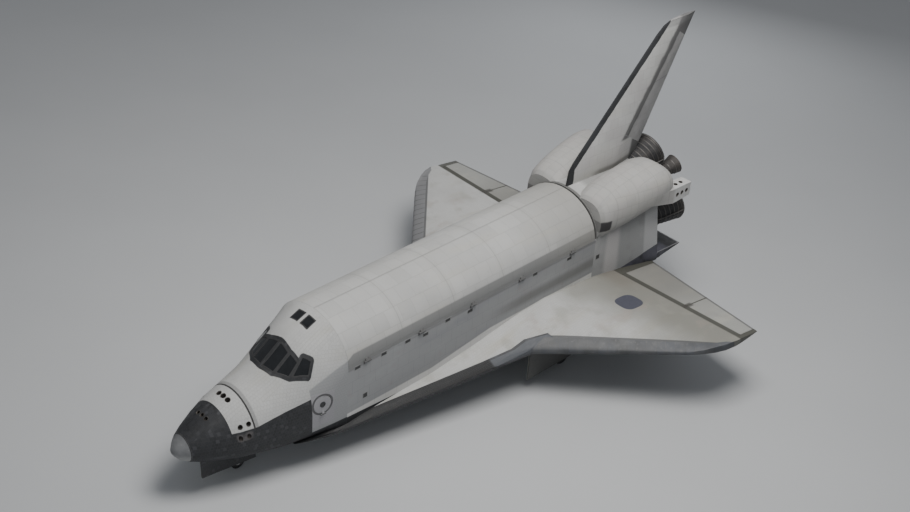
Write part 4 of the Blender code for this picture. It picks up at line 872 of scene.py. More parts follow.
# The mid body
# A box of aluminium frames 18 m long that carries the payload bay.
# Its sides wear felt and white blankets, its belly black tiles, and it breathes through vent doors.
VENTS = (
    (9.20, 6.05), (7.46, 6.05), (5.84, 6.05), (4.59, 5.88), (3.02, 6.05), (1.38, 5.88), (-3.6, 6.05),
    (-6.4, 5.88),
)
VENT_HALF = (0.17, 0.085)
SMALL_VENTS = ((8.64, 4.03), (-8.95, 4.92))
SMALL_VENT_HALF = (0.13, 0.13)
VENT_SHADES = ((0.022, 0.022, 0.024), (0.07, 0.07, 0.07))
VENT_RIM_SHADES = ((0.18, 0.18, 0.18), (0.33, 0.33, 0.32))
MID_BLANKET = 0.76
MID_BELLY_Z = 3.0
MID_BELLY_BREAK_X = 6.3
MID_BELLY_SLOPE = 0.060
BLANKET_GAP = 0.010
BLANKET_SPOT = (0.28, 0.28, 0.29)
STITCH_PITCH = 0.076
GLOVE_LOW = (4.0, 3.42)
GLOVE_SLOPE = 0.13
GLOVE_TOP_Z = 3.98
BAY_AXIS_Z = 5.893
BAY_RADIUS = 2.29
BAY_FORWARD_X = 9.62
BAY_AFT_X = -8.30
BAY_LINER = (0.42, 0.42, 0.40)
BAY_FRAMES = 13
BAY_ARC = [math.radians(182 + 176 * k / 32) for k in range(33)]
BAY_FRAME_SHADES = ((0.34, 0.36, 0.33), (0.48, 0.49, 0.46))
TRAY_RADIUS = BAY_RADIUS - 0.125
TRAY_X = (BAY_AFT_X + 0.1, 0.0, BAY_FORWARD_X - 0.1)
TRAYS = ((215, 0.030), (218, 0.022), (325, 0.030), (322, 0.022), (262, 0.045), (278, 0.045))
DOOR_AXIS_Z = 6.20
DOOR_HALF = 2.67
DOOR_RISE = 2.23
DOOR_CURVE = 0.2685
LUG_Z = (5.95, 6.50)
# The hinge lugs are painted dark as painted shade, to sink into the shaded sill.
LUG_PAINTED_SHADE = (0.10, 0.10, 0.10)


def seams(value, places, width):
    """1 on narrow lines at given places along a value."""
    lines = None
    for place in places:
        line = abs(value - place).rise(width, width * 0.5)
        lines = line if lines is None else lines | line
    return lines


def blanket_coat(finish, across, along, size, stains_light_and_shade=(), patches=(), black=0.0, warmth=0.5, white=WHITE):
    """Quilted glass blankets: puffed panels stitched in squares, with stains and painted shade and light,
    black tiles and patches.
    """
    gaps, tone = tile_grid(finish, across, along, size, BLANKET_GAP)
    sockets = {
        "Vector": finish.vector(across, along), "Scale": 1.0, "Mortar Size": 0.004, "Mortar Smooth": 1.0,
        "Brick Width": STITCH_PITCH, "Row Height": STITCH_PITCH,
    }
    stitch = finish.add("ShaderNodeTexBrick", {"offset": 0.0}, sockets, "Fac")
    clouds = finish.noise(0.40, 4.0)
    streaks = finish.noise(1.1, 4.0, (0.20, 1, 1))
    spots = finish.noise(2.2, 3.0)
    pale = finish.over(finish.shade(white, clouds.vary(0.28) * tone.vary(0.09)), (
        (streaks.rise(0.46, 0.80) * warmth, AGED_WHITE),
        (spots.rise(0.62, 0.82) * 0.25, BLANKET_SPOT),
        *stains_light_and_shade,
    ))
    dark = finish.shade(BLACK, tone.vary(0.5) * clouds.vary(0.6))
    sewn = (*patches, (gaps * 0.20, GAP_SHADE), (stitch * 0.05, GAP_SHADE))
    colour = finish.over(finish.mix(black, pale, dark), sewn)
    height = (1 - gaps) * 0.7 + (1 - stitch) * 0.3 + finish.noise(1.4, 2.0) * 0.6 + finish.noise(30.0) * 0.06
    return finish.surface(
        Base_Color=colour,
        Roughness=0.80 + tone * 0.08,
        Normal=finish.bump(height, 0.006),
    )


def lug_mask(y, z):
    """1 on the door hinges' lugs, which stand proud of the sill and of the door's curve; they are painted
    dark as shade.
    """
    above = (z - DOOR_AXIS_Z) | 0.0
    proud = abs(y) + above * above * DOOR_CURVE
    return proud.rise(DOOR_HALF + 0.0005, DOOR_HALF + 0.0025) * z.span(*LUG_Z)


mid_skin = Finish("mid_body_skin")
x, y, z, _ = mid_skin.place()
lowest_white = MID_BELLY_Z | (MID_BELLY_Z + (x - MID_BELLY_BREAK_X) * MID_BELLY_SLOPE)
mid_belly = (z - lowest_white).rise(PAINT_EDGE, -PAINT_EDGE)
side_clouds = mid_skin.noise(0.7, 4.0, (0.35, 1, 1))
glove_line = GLOVE_TOP_Z & (GLOVE_LOW[1] + ((GLOVE_LOW[0] - x) | 0.0) * GLOVE_SLOPE)
glove_painted_lighter = (glove_line - z).rise(-0.05, 0.05)
side_patches = 1 - glove_painted_lighter
mid_stains_shade_and_light = (
    (shaded_grey_side(mid_skin) * side_patches * 0.92, SIDE_GREY_AND_SHADE),
    (side_clouds.rise(0.50, 0.72) * side_patches * 0.40, (0.25, 0.255, 0.28)),
    (side_clouds.rise(0.45, 0.28) * side_patches * 0.35, (0.42, 0.43, 0.43)),
    (mid_skin.noise(1.9, 3.0).rise(0.58, 0.74) * 0.25, (0.33, 0.28, 0.28)),
    (z.span(4.40, 5.00, 0.22) * x.rise(0.5, -3.0) * 0.50, (0.115, 0.115, 0.105)),
    (z.span(6.02, 6.22, 0.06) * side_clouds.rise(0.35, 0.60) * 0.45, (0.15, 0.145, 0.14)),
    # painted light: the glove's upright wall is painted lighter, standing in for light on it
    (glove_painted_lighter * 0.8, (0.72, 0.71, 0.69)),
)
mid_patches = (
    (facing_in(mid_skin, BAY_AXIS_Z), BAY_LINER),
    (lug_mask(y, z) * 0.92, LUG_PAINTED_SHADE),
)
blanket_coat(mid_skin, x, flank_or_top(mid_skin), MID_BLANKET, mid_stains_shade_and_light, mid_patches, mid_belly)
coat("mid_fuselage", mid_skin)
vent_metal = worn("vent_door", (9.0, 4.0), VENT_SHADES, (0.6, 0.2))
vent_rim_paint = worn("vent_rim", (11.0, 4.0), VENT_RIM_SHADES, (0.6, 0.2), grain=50.0)


def sheet(mesh, rows, thickness):
    """A thin plate through rows of points."""
    grid = [[mesh.verts.new(Vector(point)) for point in row] for row in rows]
    faces = []
    for near, far in pairwise(grid):
        for (a, b), (c, d) in zip(pairwise(near), pairwise(far)):
            faces.append(mesh.faces.new((a, b, d, c)))
    bmesh.ops.recalc_face_normals(mesh, faces=faces)
    bmesh.ops.solidify(mesh, geom=faces, thickness=thickness)


def on_side(tree, x, z, side, lift):
    """A point over a side skin, at an x and z."""
    spot, normal = from_side(tree, x, z, side)
    return spot + normal * lift


def patch(mesh, tree, centre, half, side, lift, thickness):
    """A rectangle of plate laid on a side skin, from x and z, standing a little proud."""
    shares = (-1, -0.5, 0, 0.5, 1)
    rows = [
        [on_side(tree, centre[0] + half[0] * a, centre[1] + half[1] * b, side, lift) for b in shares]
        for a in shares
    ]
    sheet(mesh, rows, thickness)


def rim(mesh, tree, centre, half, side, width, lift):
    """A raised border round a rectangle on a side skin."""
    loops = []
    for grow, height in ((0.0, -0.004), (0.0, lift), (width, lift), (width + 0.004, -0.004)):
        loop = []
        for (from_x, from_z), (to_x, to_z) in pairwise(((-1, -1), (1, -1), (1, 1), (-1, 1), (-1, -1))):
            for share in (0.0, 0.25, 0.5, 0.75):
                x = centre[0] + (half[0] + grow) * (from_x + (to_x - from_x) * share)
                z = centre[1] + (half[1] + grow) * (from_z + (to_z - from_z) * share)
                loop.append(mesh.verts.new(on_side(tree, x, z, side, height)))
        loops.append(loop)
    lace(mesh, loops)


def bay_arc(x, radius):
    """Points round the bay's wall, from one sill down and up to the other."""
    return [(x, radius * math.cos(a), BAY_AXIS_Z + radius * math.sin(a)) for a in BAY_ARC]


body_skin = in_level("forward_fuselage", "mid_fuselage", "aft_fuselage")
vent_doors = bmesh.new()
vent_rims = bmesh.new()
for _, side in SIDES:
    for centre in (*VENTS, *SMALL_VENTS):
        half = VENT_HALF if centre in VENTS else SMALL_VENT_HALF
        patch(vent_doors, body_skin, centre, half, side, 0.003, 0.008)
        rim(vent_rims, body_skin, centre, half, side, 0.026, 0.008)
build("vent_doors", vent_doors, vent_metal, "airframe")
build("vent_rims", vent_rims, vent_rim_paint, "airframe")
bay_frames = bmesh.new()
for i in range(BAY_FRAMES):
    frame_x = BAY_AFT_X + 0.35 + i * (BAY_FORWARD_X - BAY_AFT_X - 0.7) / (BAY_FRAMES - 1)
    for web in (-0.07, 0.07):
        web_x = frame_x + web
        sheet(bay_frames, [bay_arc(web_x, BAY_RADIUS + 0.02), bay_arc(web_x, BAY_RADIUS - 0.09)], 0.012)
    sheet(bay_frames, [bay_arc(frame_x + edge, BAY_RADIUS - 0.085) for edge in (-0.09, 0.09)], 0.012)
bay_paint = worn("bay_frame_paint", (4.0, 4.0), BAY_FRAME_SHADES, (0.5, 0.2), grain=45.0)
build("bay_frames", bay_frames, bay_paint, "airframe")
bay_lines = bmesh.new()
for angle, radius in TRAYS:
    a = math.radians(angle)
    y = TRAY_RADIUS * math.cos(a)
    z = BAY_AXIS_Z + TRAY_RADIUS * math.sin(a)
    pipe(bay_lines, [(x, y, z) for x in TRAY_X], radius, 10)
build("bay_wire_trays", bay_lines, fitting_metal, "airframe")

# The payload bay doors
# Panels of graphite and epoxy in five lengths a side, in quilted white blankets, hinged along the sills.
# Silvered radiators with coolant tubes are hung inside, and hook latches line the edge at the top.
DOOR_WHITE = (0.455, 0.455, 0.446)
DOOR_BLANKET = 0.91
DOOR_GIRTH = 2.45
DOOR_THICKNESS = 0.18
DOOR_JOINTS = (6.14, 2.48, -1.17, -4.82)
DOOR_PANELS = tuple(pairwise((9.792, *DOOR_JOINTS, -8.48)))
DOOR_LATCHES = 4
RADIATOR_INSET = DOOR_THICKNESS + 0.030
RADIATOR_ARC = [9 + 72 * k / 24 for k in range(25)]
LATCH_ANGLE = 85.5
LATCH_SIZE = (0.26, 0.10, 0.045)
COOLANT_ANGLES = (11, 79)


def inside_door(x, side, inset, angle):
    """A point at an angle round the doors' curve, inside their outer skin by an inset."""
    a = math.radians(angle)
    return x, side * (DOOR_HALF - inset) * math.cos(a), DOOR_AXIS_Z + (DOOR_RISE - inset) * math.sin(a)


door_skin = Finish("door_blankets")
x, y, z, _ = door_skin.place()
around = y.maths("ARCTAN2", y, (z - DOOR_AXIS_Z) * (DOOR_HALF / DOOR_RISE))
joint_lines = seams(x, DOOR_JOINTS, 0.035)
joint_stain = seams(x, DOOR_JOINTS, 0.22)
crown = abs(y).rise(0.09, 0.03)
door_stains_and_shade = (
    (joint_stain * 0.10, (0.30, 0.29, 0.27)),
    # painted shade: the doors' lower flanks are painted grey, standing in for shade
    (shaded_grey_side(door_skin) * 0.95, (0.215, 0.217, 0.215)),
    (joint_lines * 0.35, (0.22, 0.22, 0.21)),
    (crown * 0.30, (0.25, 0.25, 0.25)),
    (x.rise(-3.0, -8.6) * 0.55, (0.32, 0.31, 0.285)),
)
door_patches = (
    (facing_in(door_skin, DOOR_AXIS_Z), (0.40, 0.41, 0.40)),
    (lug_mask(y, z) * 0.92, LUG_PAINTED_SHADE),
)
blanket_coat(door_skin, x, around * DOOR_GIRTH, DOOR_BLANKET, door_stains_and_shade, door_patches, warmth=0.55,
             white=DOOR_WHITE)
radiator_silver = Finish("radiator_silver")
radiator_clouds = radiator_silver.noise(1.2, 4.0)
_, y, z, _ = radiator_silver.place()
along_arc = radiator_silver.vector(0, 0, y.maths("ARCTAN2", y, z - DOOR_AXIS_Z) * 2.4)
lane_sockets = {"Vector": along_arc, "Scale": 3.4, "Distortion": 0.0}
lanes = radiator_silver.add("ShaderNodeTexWave", {"bands_direction": "Z"}, lane_sockets)
radiator_silver.surface(
    Base_Color=radiator_silver.mix(radiator_clouds, (0.55, 0.57, 0.60), (0.78, 0.79, 0.80)),
    Roughness=0.22 + radiator_clouds * 0.20,
    Metallic=0.9,
    Normal=radiator_silver.bump(lanes, 0.004),
)
for side, sign in SIDES:
    coat(f"{side}_bay_door", door_skin)
    radiators = bmesh.new()
    latches = bmesh.new()
    for front, back in DOOR_PANELS:
        stations = (front - 0.10, (front + back) / 2, back + 0.10)
        rows = [[inside_door(x, sign, RADIATOR_INSET, angle) for angle in RADIATOR_ARC] for x in stations]
        sheet(radiators, rows, 0.018)
        for k in range(DOOR_LATCHES):
            latch_x = front + (back - front) * (k + 0.5) / DOOR_LATCHES
            x, y, z = inside_door(latch_x, sign, DOOR_THICKNESS + 0.012, LATCH_ANGLE)
            tilt = Matrix.Rotation(math.radians((LATCH_ANGLE - 90) * sign), 4, "X")
            block(latches, Matrix.Translation((x, y, z - 0.01)) @ tilt, LATCH_SIZE, 0.012)
        for angle in COOLANT_ANGLES:
            ends = [inside_door(x, sign, RADIATOR_INSET + 0.03, angle) for x in (front - 0.12, back + 0.12)]
            pipe(latches, ends, 0.014)
    build(f"{side}_radiators", radiators, radiator_silver, f"{side}_bay_door")
    build(f"{side}_door_latches", latches, fitting_metal, f"{side}_bay_door")

# The wings
# Aluminium ribs and skins under white tiles and felt above and black tiles below.
# The strake's upper face is black towards its edge, and a plain blue-grey panel is set in the port wing.
EDGE_LINE = 3.353
EDGE_STRIP = (1.14, 1.10)
EDGE_STRIP_Y = (4.45, 4.55)
STRAKE_AFT_X = (-2.75, -2.65)
GREY_STRAKE_X = (0.95, 0.75)
HINGE_BAND_X = (-10.42, -10.50)
ELEVON_WHITE = (0.370, 0.370, 0.350)
ELEVON_NOSE_X = (-10.90, -10.82)
ELEVON_SPLIT_Y = 7.90
TRAILING_X = -14.154
TRAILING_SLOPE = 0.1773
PANEL_PLACE = (-8.28, 5.76)
PANEL_HALF = (0.78, 0.66)
PANEL_BLUE = (0.075, 0.078, 0.105)
STRAKE_LINES = ((7.64, 2.73, 0.155), (-1.50, 4.15, 0.47))


def facing_down(finish):
    """1 where the skin faces down in the level drawing."""
    _, _, nz = finish.facing()
    return nz.rise(0.02, -0.02)


wing_skin = Finish("wing_skin")
x, y, _, _ = wing_skin.place()
outboard = abs(y)
under = facing_down(wing_skin)
fore_line, aft_line = (start_y + (start_x - x) * slope for start_x, start_y, slope in STRAKE_LINES)
past_strake = outboard - (fore_line | aft_line)
strake_end = x.rise(*STRAKE_AFT_X)
black_strake = past_strake.rise(-PAINT_EDGE, PAINT_EDGE) * strake_end
grey_strake = black_strake * x.rise(*GREY_STRAKE_X)
behind_edge = (EDGE_LINE - outboard) - x
edge_strip = behind_edge.rise(*EDGE_STRIP) * outboard.rise(*EDGE_STRIP_Y)
hinge_band = x.rise(*HINGE_BAND_X)
panel_x = abs(x - PANEL_PLACE[0]) / PANEL_HALF[0]
panel_y = abs(y - PANEL_PLACE[1]) / PANEL_HALF[1]
panel = (panel_x * panel_x * panel_x + panel_y * panel_y * panel_y).rise(1.04, 0.96)
aft_shade = (x + wing_skin.noise(0.5, 3.0) * 2.0).rise(-4.0, -8.2)
wing_clouds = wing_skin.noise(0.8, 4.0)
wing_stains = (
    (aft_shade * y.rise(-3.0, 3.0) * 0.92, (0.240, 0.235, 0.205)),
    (wing_clouds.rise(0.50, 0.70) * 0.45, (0.34, 0.33, 0.29)),
    (wing_skin.noise(0.55, 3.0).rise(0.58, 0.70) * 0.35, (0.38, 0.32, 0.28)),
    (x.rise(-4.5, -7.0) * outboard.rise(5.2, 3.4) * 0.6, (0.27, 0.268, 0.24)),
    (x.rise(-8.6, -9.8) * outboard.rise(5.6, 3.6) * 0.85, (0.215, 0.200, 0.172)),
)
strake_rim = past_strake.span(0.0, 0.10) * strake_end
over = 1 - under
wing_patches = (
    (edge_strip * 0.85, (0.085, 0.088, 0.092)),
    (grey_strake * over, (0.100, 0.106, 0.118)),
    (strake_rim * over * wing_clouds.rise(0.30, 0.45) * 0.8, (0.045, 0.045, 0.048)),
    (black_strake * (1 - grey_strake) * over * 0.8, (0.012, 0.012, 0.013)),
    (hinge_band * 0.90 * over, (0.072, 0.072, 0.060)),
    (panel * over, PANEL_BLUE),
)
tiles(wing_skin, under | black_strake, wing_stains, wing_patches, x, y, warmth=0.75)
elevon_skin = Finish("elevon_skin")
x, y, _, _ = elevon_skin.place()
under = facing_down(elevon_skin)
nose_band = x.rise(*ELEVON_NOSE_X)
split_spot = abs(abs(y) - ELEVON_SPLIT_Y).rise(0.22, 0.12) * x.rise(-11.4, -11.2)
trailing = (x - TRAILING_X - abs(y) * TRAILING_SLOPE).rise(0.20, 0.12)
elevon_stains = (
    (abs(y).rise(10.0, 5.5) * 0.80, (0.225, 0.22, 0.20)),
    (elevon_skin.noise(0.9, 4.0).rise(0.50, 0.72) * 0.45, (0.28, 0.27, 0.25)),
)
elevon_patches = (
    (nose_band * 0.92, (0.060, 0.060, 0.050)),
    (split_spot * 0.8, (0.07, 0.065, 0.06)),
    (trailing * 0.7, (0.10, 0.10, 0.105)),
)
tiles(elevon_skin, under, elevon_stains, elevon_patches, x, y, warmth=0.8, white=ELEVON_WHITE)
for side, _ in SIDES:
    coat(f"{side}_wing", wing_skin)
    coat(f"{side}_inboard_elevon", elevon_skin)
    coat(f"{side}_outboard_elevon", elevon_skin)

# The leading edges
# Shells of reinforced carbon bolted to the front spar, with a T-shaped seal between each two.
EDGE_TINT = 0.42
EDGE_SEALS = 19
EDGE_START_Y = 5.05
EDGE_STEP_Y = 0.372
EDGE_Z = 3.0
edge_carbon = Finish("leading_edge_carbon")
_, y, z, _ = edge_carbon.place()
carbon_coat(edge_carbon, EDGE_TINT, (
    (edge_carbon.noise(0.9, 4.0).rise(0.30, 0.70) * 0.45, (0.082, 0.092, 0.115)),
    (z.rise(2.75, 2.45) * 0.5, (0.07, 0.07, 0.072)),
    # painted highlight: the starboard edge is painted lighter than the port edge
    (y.rise(0.0, -1.0) * 0.75, (0.26, 0.26, 0.265)),
))
edge_seal_carbon = Finish("edge_seal_carbon")
carbon_coat(edge_seal_carbon, EDGE_TINT)
for side, sign in SIDES:
    coat(f"{side}_leading_edge", edge_carbon)
    mesh = bmesh.new()
    way = Vector((-1, sign, 0)).normalized()
    ahead = Vector((1, sign, 0)).normalized()
    for i in range(EDGE_SEALS):
        seal_y = EDGE_START_Y + i * EDGE_STEP_Y
        place = Vector((EDGE_LINE - seal_y, sign * seal_y, EDGE_Z))
        strip(mesh, f"{side}_leading_edge", place, way, 0.040, 0.003, 0.008,
              lambda middle, normal: normal.dot(ahead) > -0.25)
    build(f"{side}_edge_seals", mesh, edge_seal_carbon, "airframe")

# The aft body
# Titanium and aluminium frames that carry the engines, under white tiles and blankets at the sides.
# The base heat shield wears dark sooty tiles, with a quilted dome round each main engine.
BASE_LINE_Z = 3.16
BASE_BREAK_X = -10.2
BASE_SLOPE = 0.20
AFT_SEAM_X = (-8.80, -8.50)
DOME_X = (-13.42, -13.55)
BASE_TILE = 0.203
BASE_TILE_GAP = 0.006
BASE_GREY = (0.085, 0.083, 0.080)
QUILT_SHADES = ((0.36, 0.35, 0.33), (0.13, 0.125, 0.12))
SOOT = (0.045, 0.043, 0.042)
aft_skin = Finish("aft_body_skin")
x, _, z, _ = aft_skin.place()
aft_black_line = BASE_LINE_Z | (BASE_LINE_Z + (BASE_BREAK_X - x) * BASE_SLOPE)
aft_belly = (z - aft_black_line).rise(PAINT_EDGE, -PAINT_EDGE)
door_seam = x.span(*AFT_SEAM_X, 0.03)
aft_clouds = aft_skin.noise(0.8, 4.0)
aft_stains_and_shade = (
    (shaded_grey_side(aft_skin) * 0.72, SIDE_GREY_AND_SHADE),
    (aft_clouds.rise(0.50, 0.72) * 0.45, (0.25, 0.245, 0.24)),
    (aft_clouds.rise(0.44, 0.30) * 0.45, (0.44, 0.43, 0.43)),
    (x.span(-10.7, -9.6, 0.2) * z.rise(6.6, 6.2) * 0.9, (0.56, 0.545, 0.54)),
    (x.rise(-12.8, -13.0) * 0.85, (0.55, 0.55, 0.55)),
    # painted shade under the pods, high on the aft flanks
    (z.rise(5.9, 6.5) * x.rise(-9.5, -10.0) * 0.55, (0.17, 0.17, 0.165)),
    (z.rise(4.9, 3.3) * 0.30, (0.26, 0.27, 0.28)),
)
aft_shine = aft_belly * z.rise(2.9, 3.3) * aft_skin.noise(1.6, 4.0).rise(0.25, 0.55)
aft_patches = (
    (aft_shine * 0.8, (0.105, 0.105, 0.135)),
    (door_seam * z.rise(6.1, 6.4) * 0.80, (0.10, 0.10, 0.095)),
)
tiles(aft_skin, aft_belly, aft_stains_and_shade, aft_patches, warmth=0.55)
coat("aft_fuselage", aft_skin)
heat_shield = Finish("base_heat_shield_tiles")
x, y, z, _ = heat_shield.place()
on_dome = x.rise(*DOME_X)
ring_soot = heat_shield.noise(1.4, 5.0)
shield_gaps, shield_tone = tile_grid(heat_shield, y, z, BASE_TILE, BASE_TILE_GAP)
shield_layers = (
    (on_dome, heat_shield.mix(ring_soot.rise(0.35, 0.70), *QUILT_SHADES)),
    (ring_soot.rise(0.45, 0.75) * 0.5, SOOT),
    (shield_gaps * (1 - on_dome) * 0.6, (0.02, 0.02, 0.02)),
)
quilt_puffs = heat_shield.noise(3.4, 2.0)
heat_shield.surface(
    Base_Color=heat_shield.over(heat_shield.shade(BASE_GREY, shield_tone.vary(0.6)), shield_layers),
    Roughness=0.78 + ring_soot * 0.15,
    Normal=heat_shield.bump((1 - shield_gaps) * (1 - on_dome) + on_dome * quilt_puffs * 2.0, 0.006),
)
coat("base_heat_shield", heat_shield)

# The body flap
# A hinged slab of aluminium honeycomb under the engines, black-tiled all over.
FLAP_HALF = 3.06
flap_skin = Finish("body_flap_tiles")
x, y, _, _ = flap_skin.place()
# painted highlight along the flap's upper edges
flap_edge_highlight = abs(y).rise(FLAP_HALF - 0.09, FLAP_HALF - 0.05) | x.rise(-16.26, -16.32)
flap_edge_highlight = flap_edge_highlight * flap_skin.facing()[2].rise(0.4, 0.6)
flap_dust = (flap_skin.noise(1.0, 4.0) + (x + 15.3) * 0.3).rise(0.35, 0.75)
flap_patches = (
    (flap_dust * (1 - facing_down(flap_skin)), (0.120, 0.120, 0.150)),
    (x.rise(-15.2, -15.5) * 0.6, (0.012, 0.012, 0.013)),
    (flap_edge_highlight * 0.8, (0.30, 0.30, 0.31)),
)
tiles(flap_skin, 1.0, (), flap_patches, x, y)
coat("body_flap", flap_skin)

# The engine pods
# Graphite and epoxy shells bolted to the aft body, in quilted white blankets.
# Each is black-tiled at its front corner and ends in a stinger that holds small thrusters.
POD_WHITE = (0.430, 0.424, 0.411)
POD_BLANKET = 0.61
POD_CORNER_X = (-9.36, -8.66)
POD_CORNER_Z = (6.72, 7.36)
POD_JOINTS = (-9.72, -11.20, -12.66, -13.72)
JET_RADIUS = 0.115
JET_HOLE = (
    (-0.20, 0.0), (-0.20, JET_RADIUS * 0.42), (-0.08, JET_RADIUS * 0.84), (0, JET_RADIUS), (0.15, JET_RADIUS),
    (0.15, 0),
)
JET_LIP = (
    (-0.02, JET_RADIUS * 0.94), (0.004, JET_RADIUS), (0.008, JET_RADIUS * 1.03), (0.006, JET_RADIUS * 1.14),
    (-0.01, JET_RADIUS * 1.16),
)
STINGER_JETS = (
    *(((x, 3.66, 7.44), (0, 1, 0)) for x in (-14.42, -14.84, -15.26)),
    *(((x, 3.30, 7.86), (0, 0, 1)) for x in (-14.60, -15.06)),
    *(((x, 3.30, 7.00), (0, 0, -1)) for x in (-14.60, -15.06)),
    *(((-15.62, y, 7.44), (-1, 0, 0)) for y in (3.14, 3.46)),
)
pod_skin = Finish("pod_blankets")
x, y, z, _ = pod_skin.place()
corner = x.span(*POD_CORNER_X, 0.06) * z.span(*POD_CORNER_Z, 0.06)
corner = corner * abs(y).rise(1.9, 2.0)
pod_nose = x.rise(-8.98, -8.74)
pod_joint = seams(x, POD_JOINTS, 0.022)
pod_stains_and_light = (
    (pod_skin.noise(0.7, 4.0).rise(0.48, 0.66) * 0.40, (0.47, 0.44, 0.43)),
    (pod_joint * 0.30, (0.16, 0.16, 0.16)),
    (pod_nose * 0.30, (0.20, 0.20, 0.19)),
    (z.rise(7.15, 6.6) * 0.30, (0.25, 0.25, 0.25)),
    # painted highlight: the stingers are painted lighter than the blankets
    (x.rise(-14.0, -14.3) * 0.8, (0.62, 0.62, 0.61)),
)
pod_patches = ((corner, (0.050, 0.048, 0.050)),)
blanket_coat(pod_skin, x, flank_or_top(pod_skin), POD_BLANKET, pod_stains_and_light, pod_patches, warmth=0.45,
             white=POD_WHITE)
for side, sign in SIDES:
    coat(f"{side}_engine_pod", pod_skin)
    pod_tree = in_level(f"{side}_engine_pod")
    holes = bmesh.new()
    rims_mesh = bmesh.new()
    for (x, y, z), (fire_x, fire_y, fire_z) in STINGER_JETS:
        away = Vector((fire_x, sign * fire_y, fire_z))
        mouth, _ = cast(pod_tree, Vector((x, sign * y, z)) + away * 0.6, -away)
        place = axle_at(mouth, away)
        turned(holes, JET_HOLE, 18, place)
        turned(rims_mesh, JET_LIP, 22, place, closed=True)
    carve(f"{side}_engine_pod", f"{side}_stinger_holes", holes, throat_metal)
    build(f"{side}_stinger_lips", rims_mesh, lip_metal, "airframe")

# The fin and the rudder
# A fin of aluminium ribs under white blankets, its leading edge black-tiled.
# The rudder behind it is split down the middle into two halves, which open as a speed brake.
FIN_FOOT_Z = 8.55
FIN_FRONT = (-8.70, 9.36)
FIN_LEAN = 0.998
HINGE_FOOT = (-13.345, 10.21)
HINGE_LEAN = 0.6736
FIN_BLANKET = 0.61
RUDDER_BLANKET = 0.46
RUDDER_WHITE = (0.42, 0.415, 0.41)
RUDDER_JOINT_Z = 12.96
TUBE_SHADES = ((0.10, 0.10, 0.10), (0.24, 0.24, 0.23))


def ahead_of_hinge(finish):
    """How far a point lies ahead of the rudder's hinge line, with a ragged edge."""
    x, _, z, _ = finish.place()
    hinge = HINGE_FOOT[0] - (z - HINGE_FOOT[1]) * HINGE_LEAN
    return x - hinge + finish.noise(1.6, 3.0) * 0.3


fin_skin = Finish("fin_blankets")
x, _, z, _ = fin_skin.place()
behind_front = FIN_FRONT[0] - ((z - FIN_FRONT[1]) * FIN_LEAN | 0.0) - x
hinge_shade = ahead_of_hinge(fin_skin).rise(0.62, 0.34) * z.rise(9.9, 10.1)
foot_shade = z.rise(FIN_FOOT_Z + 0.30, FIN_FOOT_Z) * x.rise(-10.4, -11.4)
fin_tip = z.rise(16.05, 16.20)
# painted shade: the fin's foot by its trailing edge is painted dark
fin_foot_shade = x.rise(-13.9, -14.2) * z.rise(10.15, 10.0)
fin_stains_and_shade = (
    (fin_skin.noise(0.5, 4.0).rise(0.42, 0.66) * 0.50, (0.45, 0.43, 0.43)),
    (hinge_shade * 0.85, (0.085, 0.083, 0.085)),
    (fin_tip * 0.5, (0.20, 0.20, 0.20)),
    (foot_shade * 0.75, (0.09, 0.09, 0.085)),
    (z.rise(9.2, 8.4) * 0.25, (0.28, 0.27, 0.25)),
)
fin_black = (behind_front + fin_skin.noise(2.5, 3.0) * 0.12).rise(0.58, 0.52)
fin_patches = ((fin_foot_shade * 0.8, (0.06, 0.06, 0.06)),)
blanket_coat(fin_skin, x, z, FIN_BLANKET, fin_stains_and_shade, fin_patches, fin_black, warmth=0.35)
coat("fin", fin_skin)
rudder_skin = Finish("rudder_blankets")
x, y, z, _ = rudder_skin.place()
rudder_stains = (
    (rudder_skin.noise(0.8, 4.0).rise(0.36, 0.62) * 0.60, (0.33, 0.32, 0.32)),
    (ahead_of_hinge(rudder_skin).rise(-0.22, 0.02) * 0.85, (0.075, 0.075, 0.075)),
    (seams(z, (RUDDER_JOINT_Z,), 0.03) * 0.5, (0.12, 0.12, 0.12)),
)
rudder_patches = (((y * rudder_skin.facing()[1]).rise(-0.001, -0.004), (0.20, 0.21, 0.20)),)
blanket_coat(rudder_skin, x, z, RUDDER_BLANKET, rudder_stains, rudder_patches, warmth=0.30,
             white=RUDDER_WHITE)
for side, _ in SIDES:
    coat(f"{side}_rudder_half", rudder_skin)
tube_metal = worn("hinge_tube_metal", (6.0, 4.0), TUBE_SHADES, (0.45, 0.2), metallic=0.6)
coat("rudder_hinge_tube", tube_metal)

# The engines
# Three main bells brazed from over a thousand coolant tubes, bound by steel hoops, with pipes outside.
# Two smaller bells of the orbital engines, each with three stiffening rings, end the pods.
MAIN_ENGINES = {
    "upper": ((-12.12, 0, 6.985), 16, 0),
    "port": ((-12.70, 1.346, 4.436), 10, 3.5),
    "starboard": ((-12.70, -1.346, 4.436), 10, -3.5),
}
MAIN_HEAD = ((0.35, 0.0), (0.35, 0.56), (0.39, 0.60), (1.21, 0.60), (1.25, 0.57), (1.27, 0.50))
MAIN_BELL = ((1.30, 0.455), (1.75, 0.60), (2.20, 0.73), (2.80, 0.88), (3.45, 1.03), (4.19, 1.19))
MAIN_THROAT = ((1.32, 0.30), (1.20, 0.18), (1.10, 0.0))
MAIN_WALL = 0.045
MAIN_LIP = (4.185, 1.19 - MAIN_WALL)
MAIN_HOOPS = (1.62, 1.92, 2.24, 2.56, 2.88, 3.18, 3.48, 3.76, 4.00)
MAIN_TONES = ((0.034, 0.034, 0.036), (0.066, 0.065, 0.066), (0.095, 0.084, 0.074))
HOOP_SECTION = (
    (-0.035, -0.004), (-0.028, 0.016), (-0.008, 0.026), (0.012, 0.026), (0.028, 0.018), (0.035, -0.004),
)
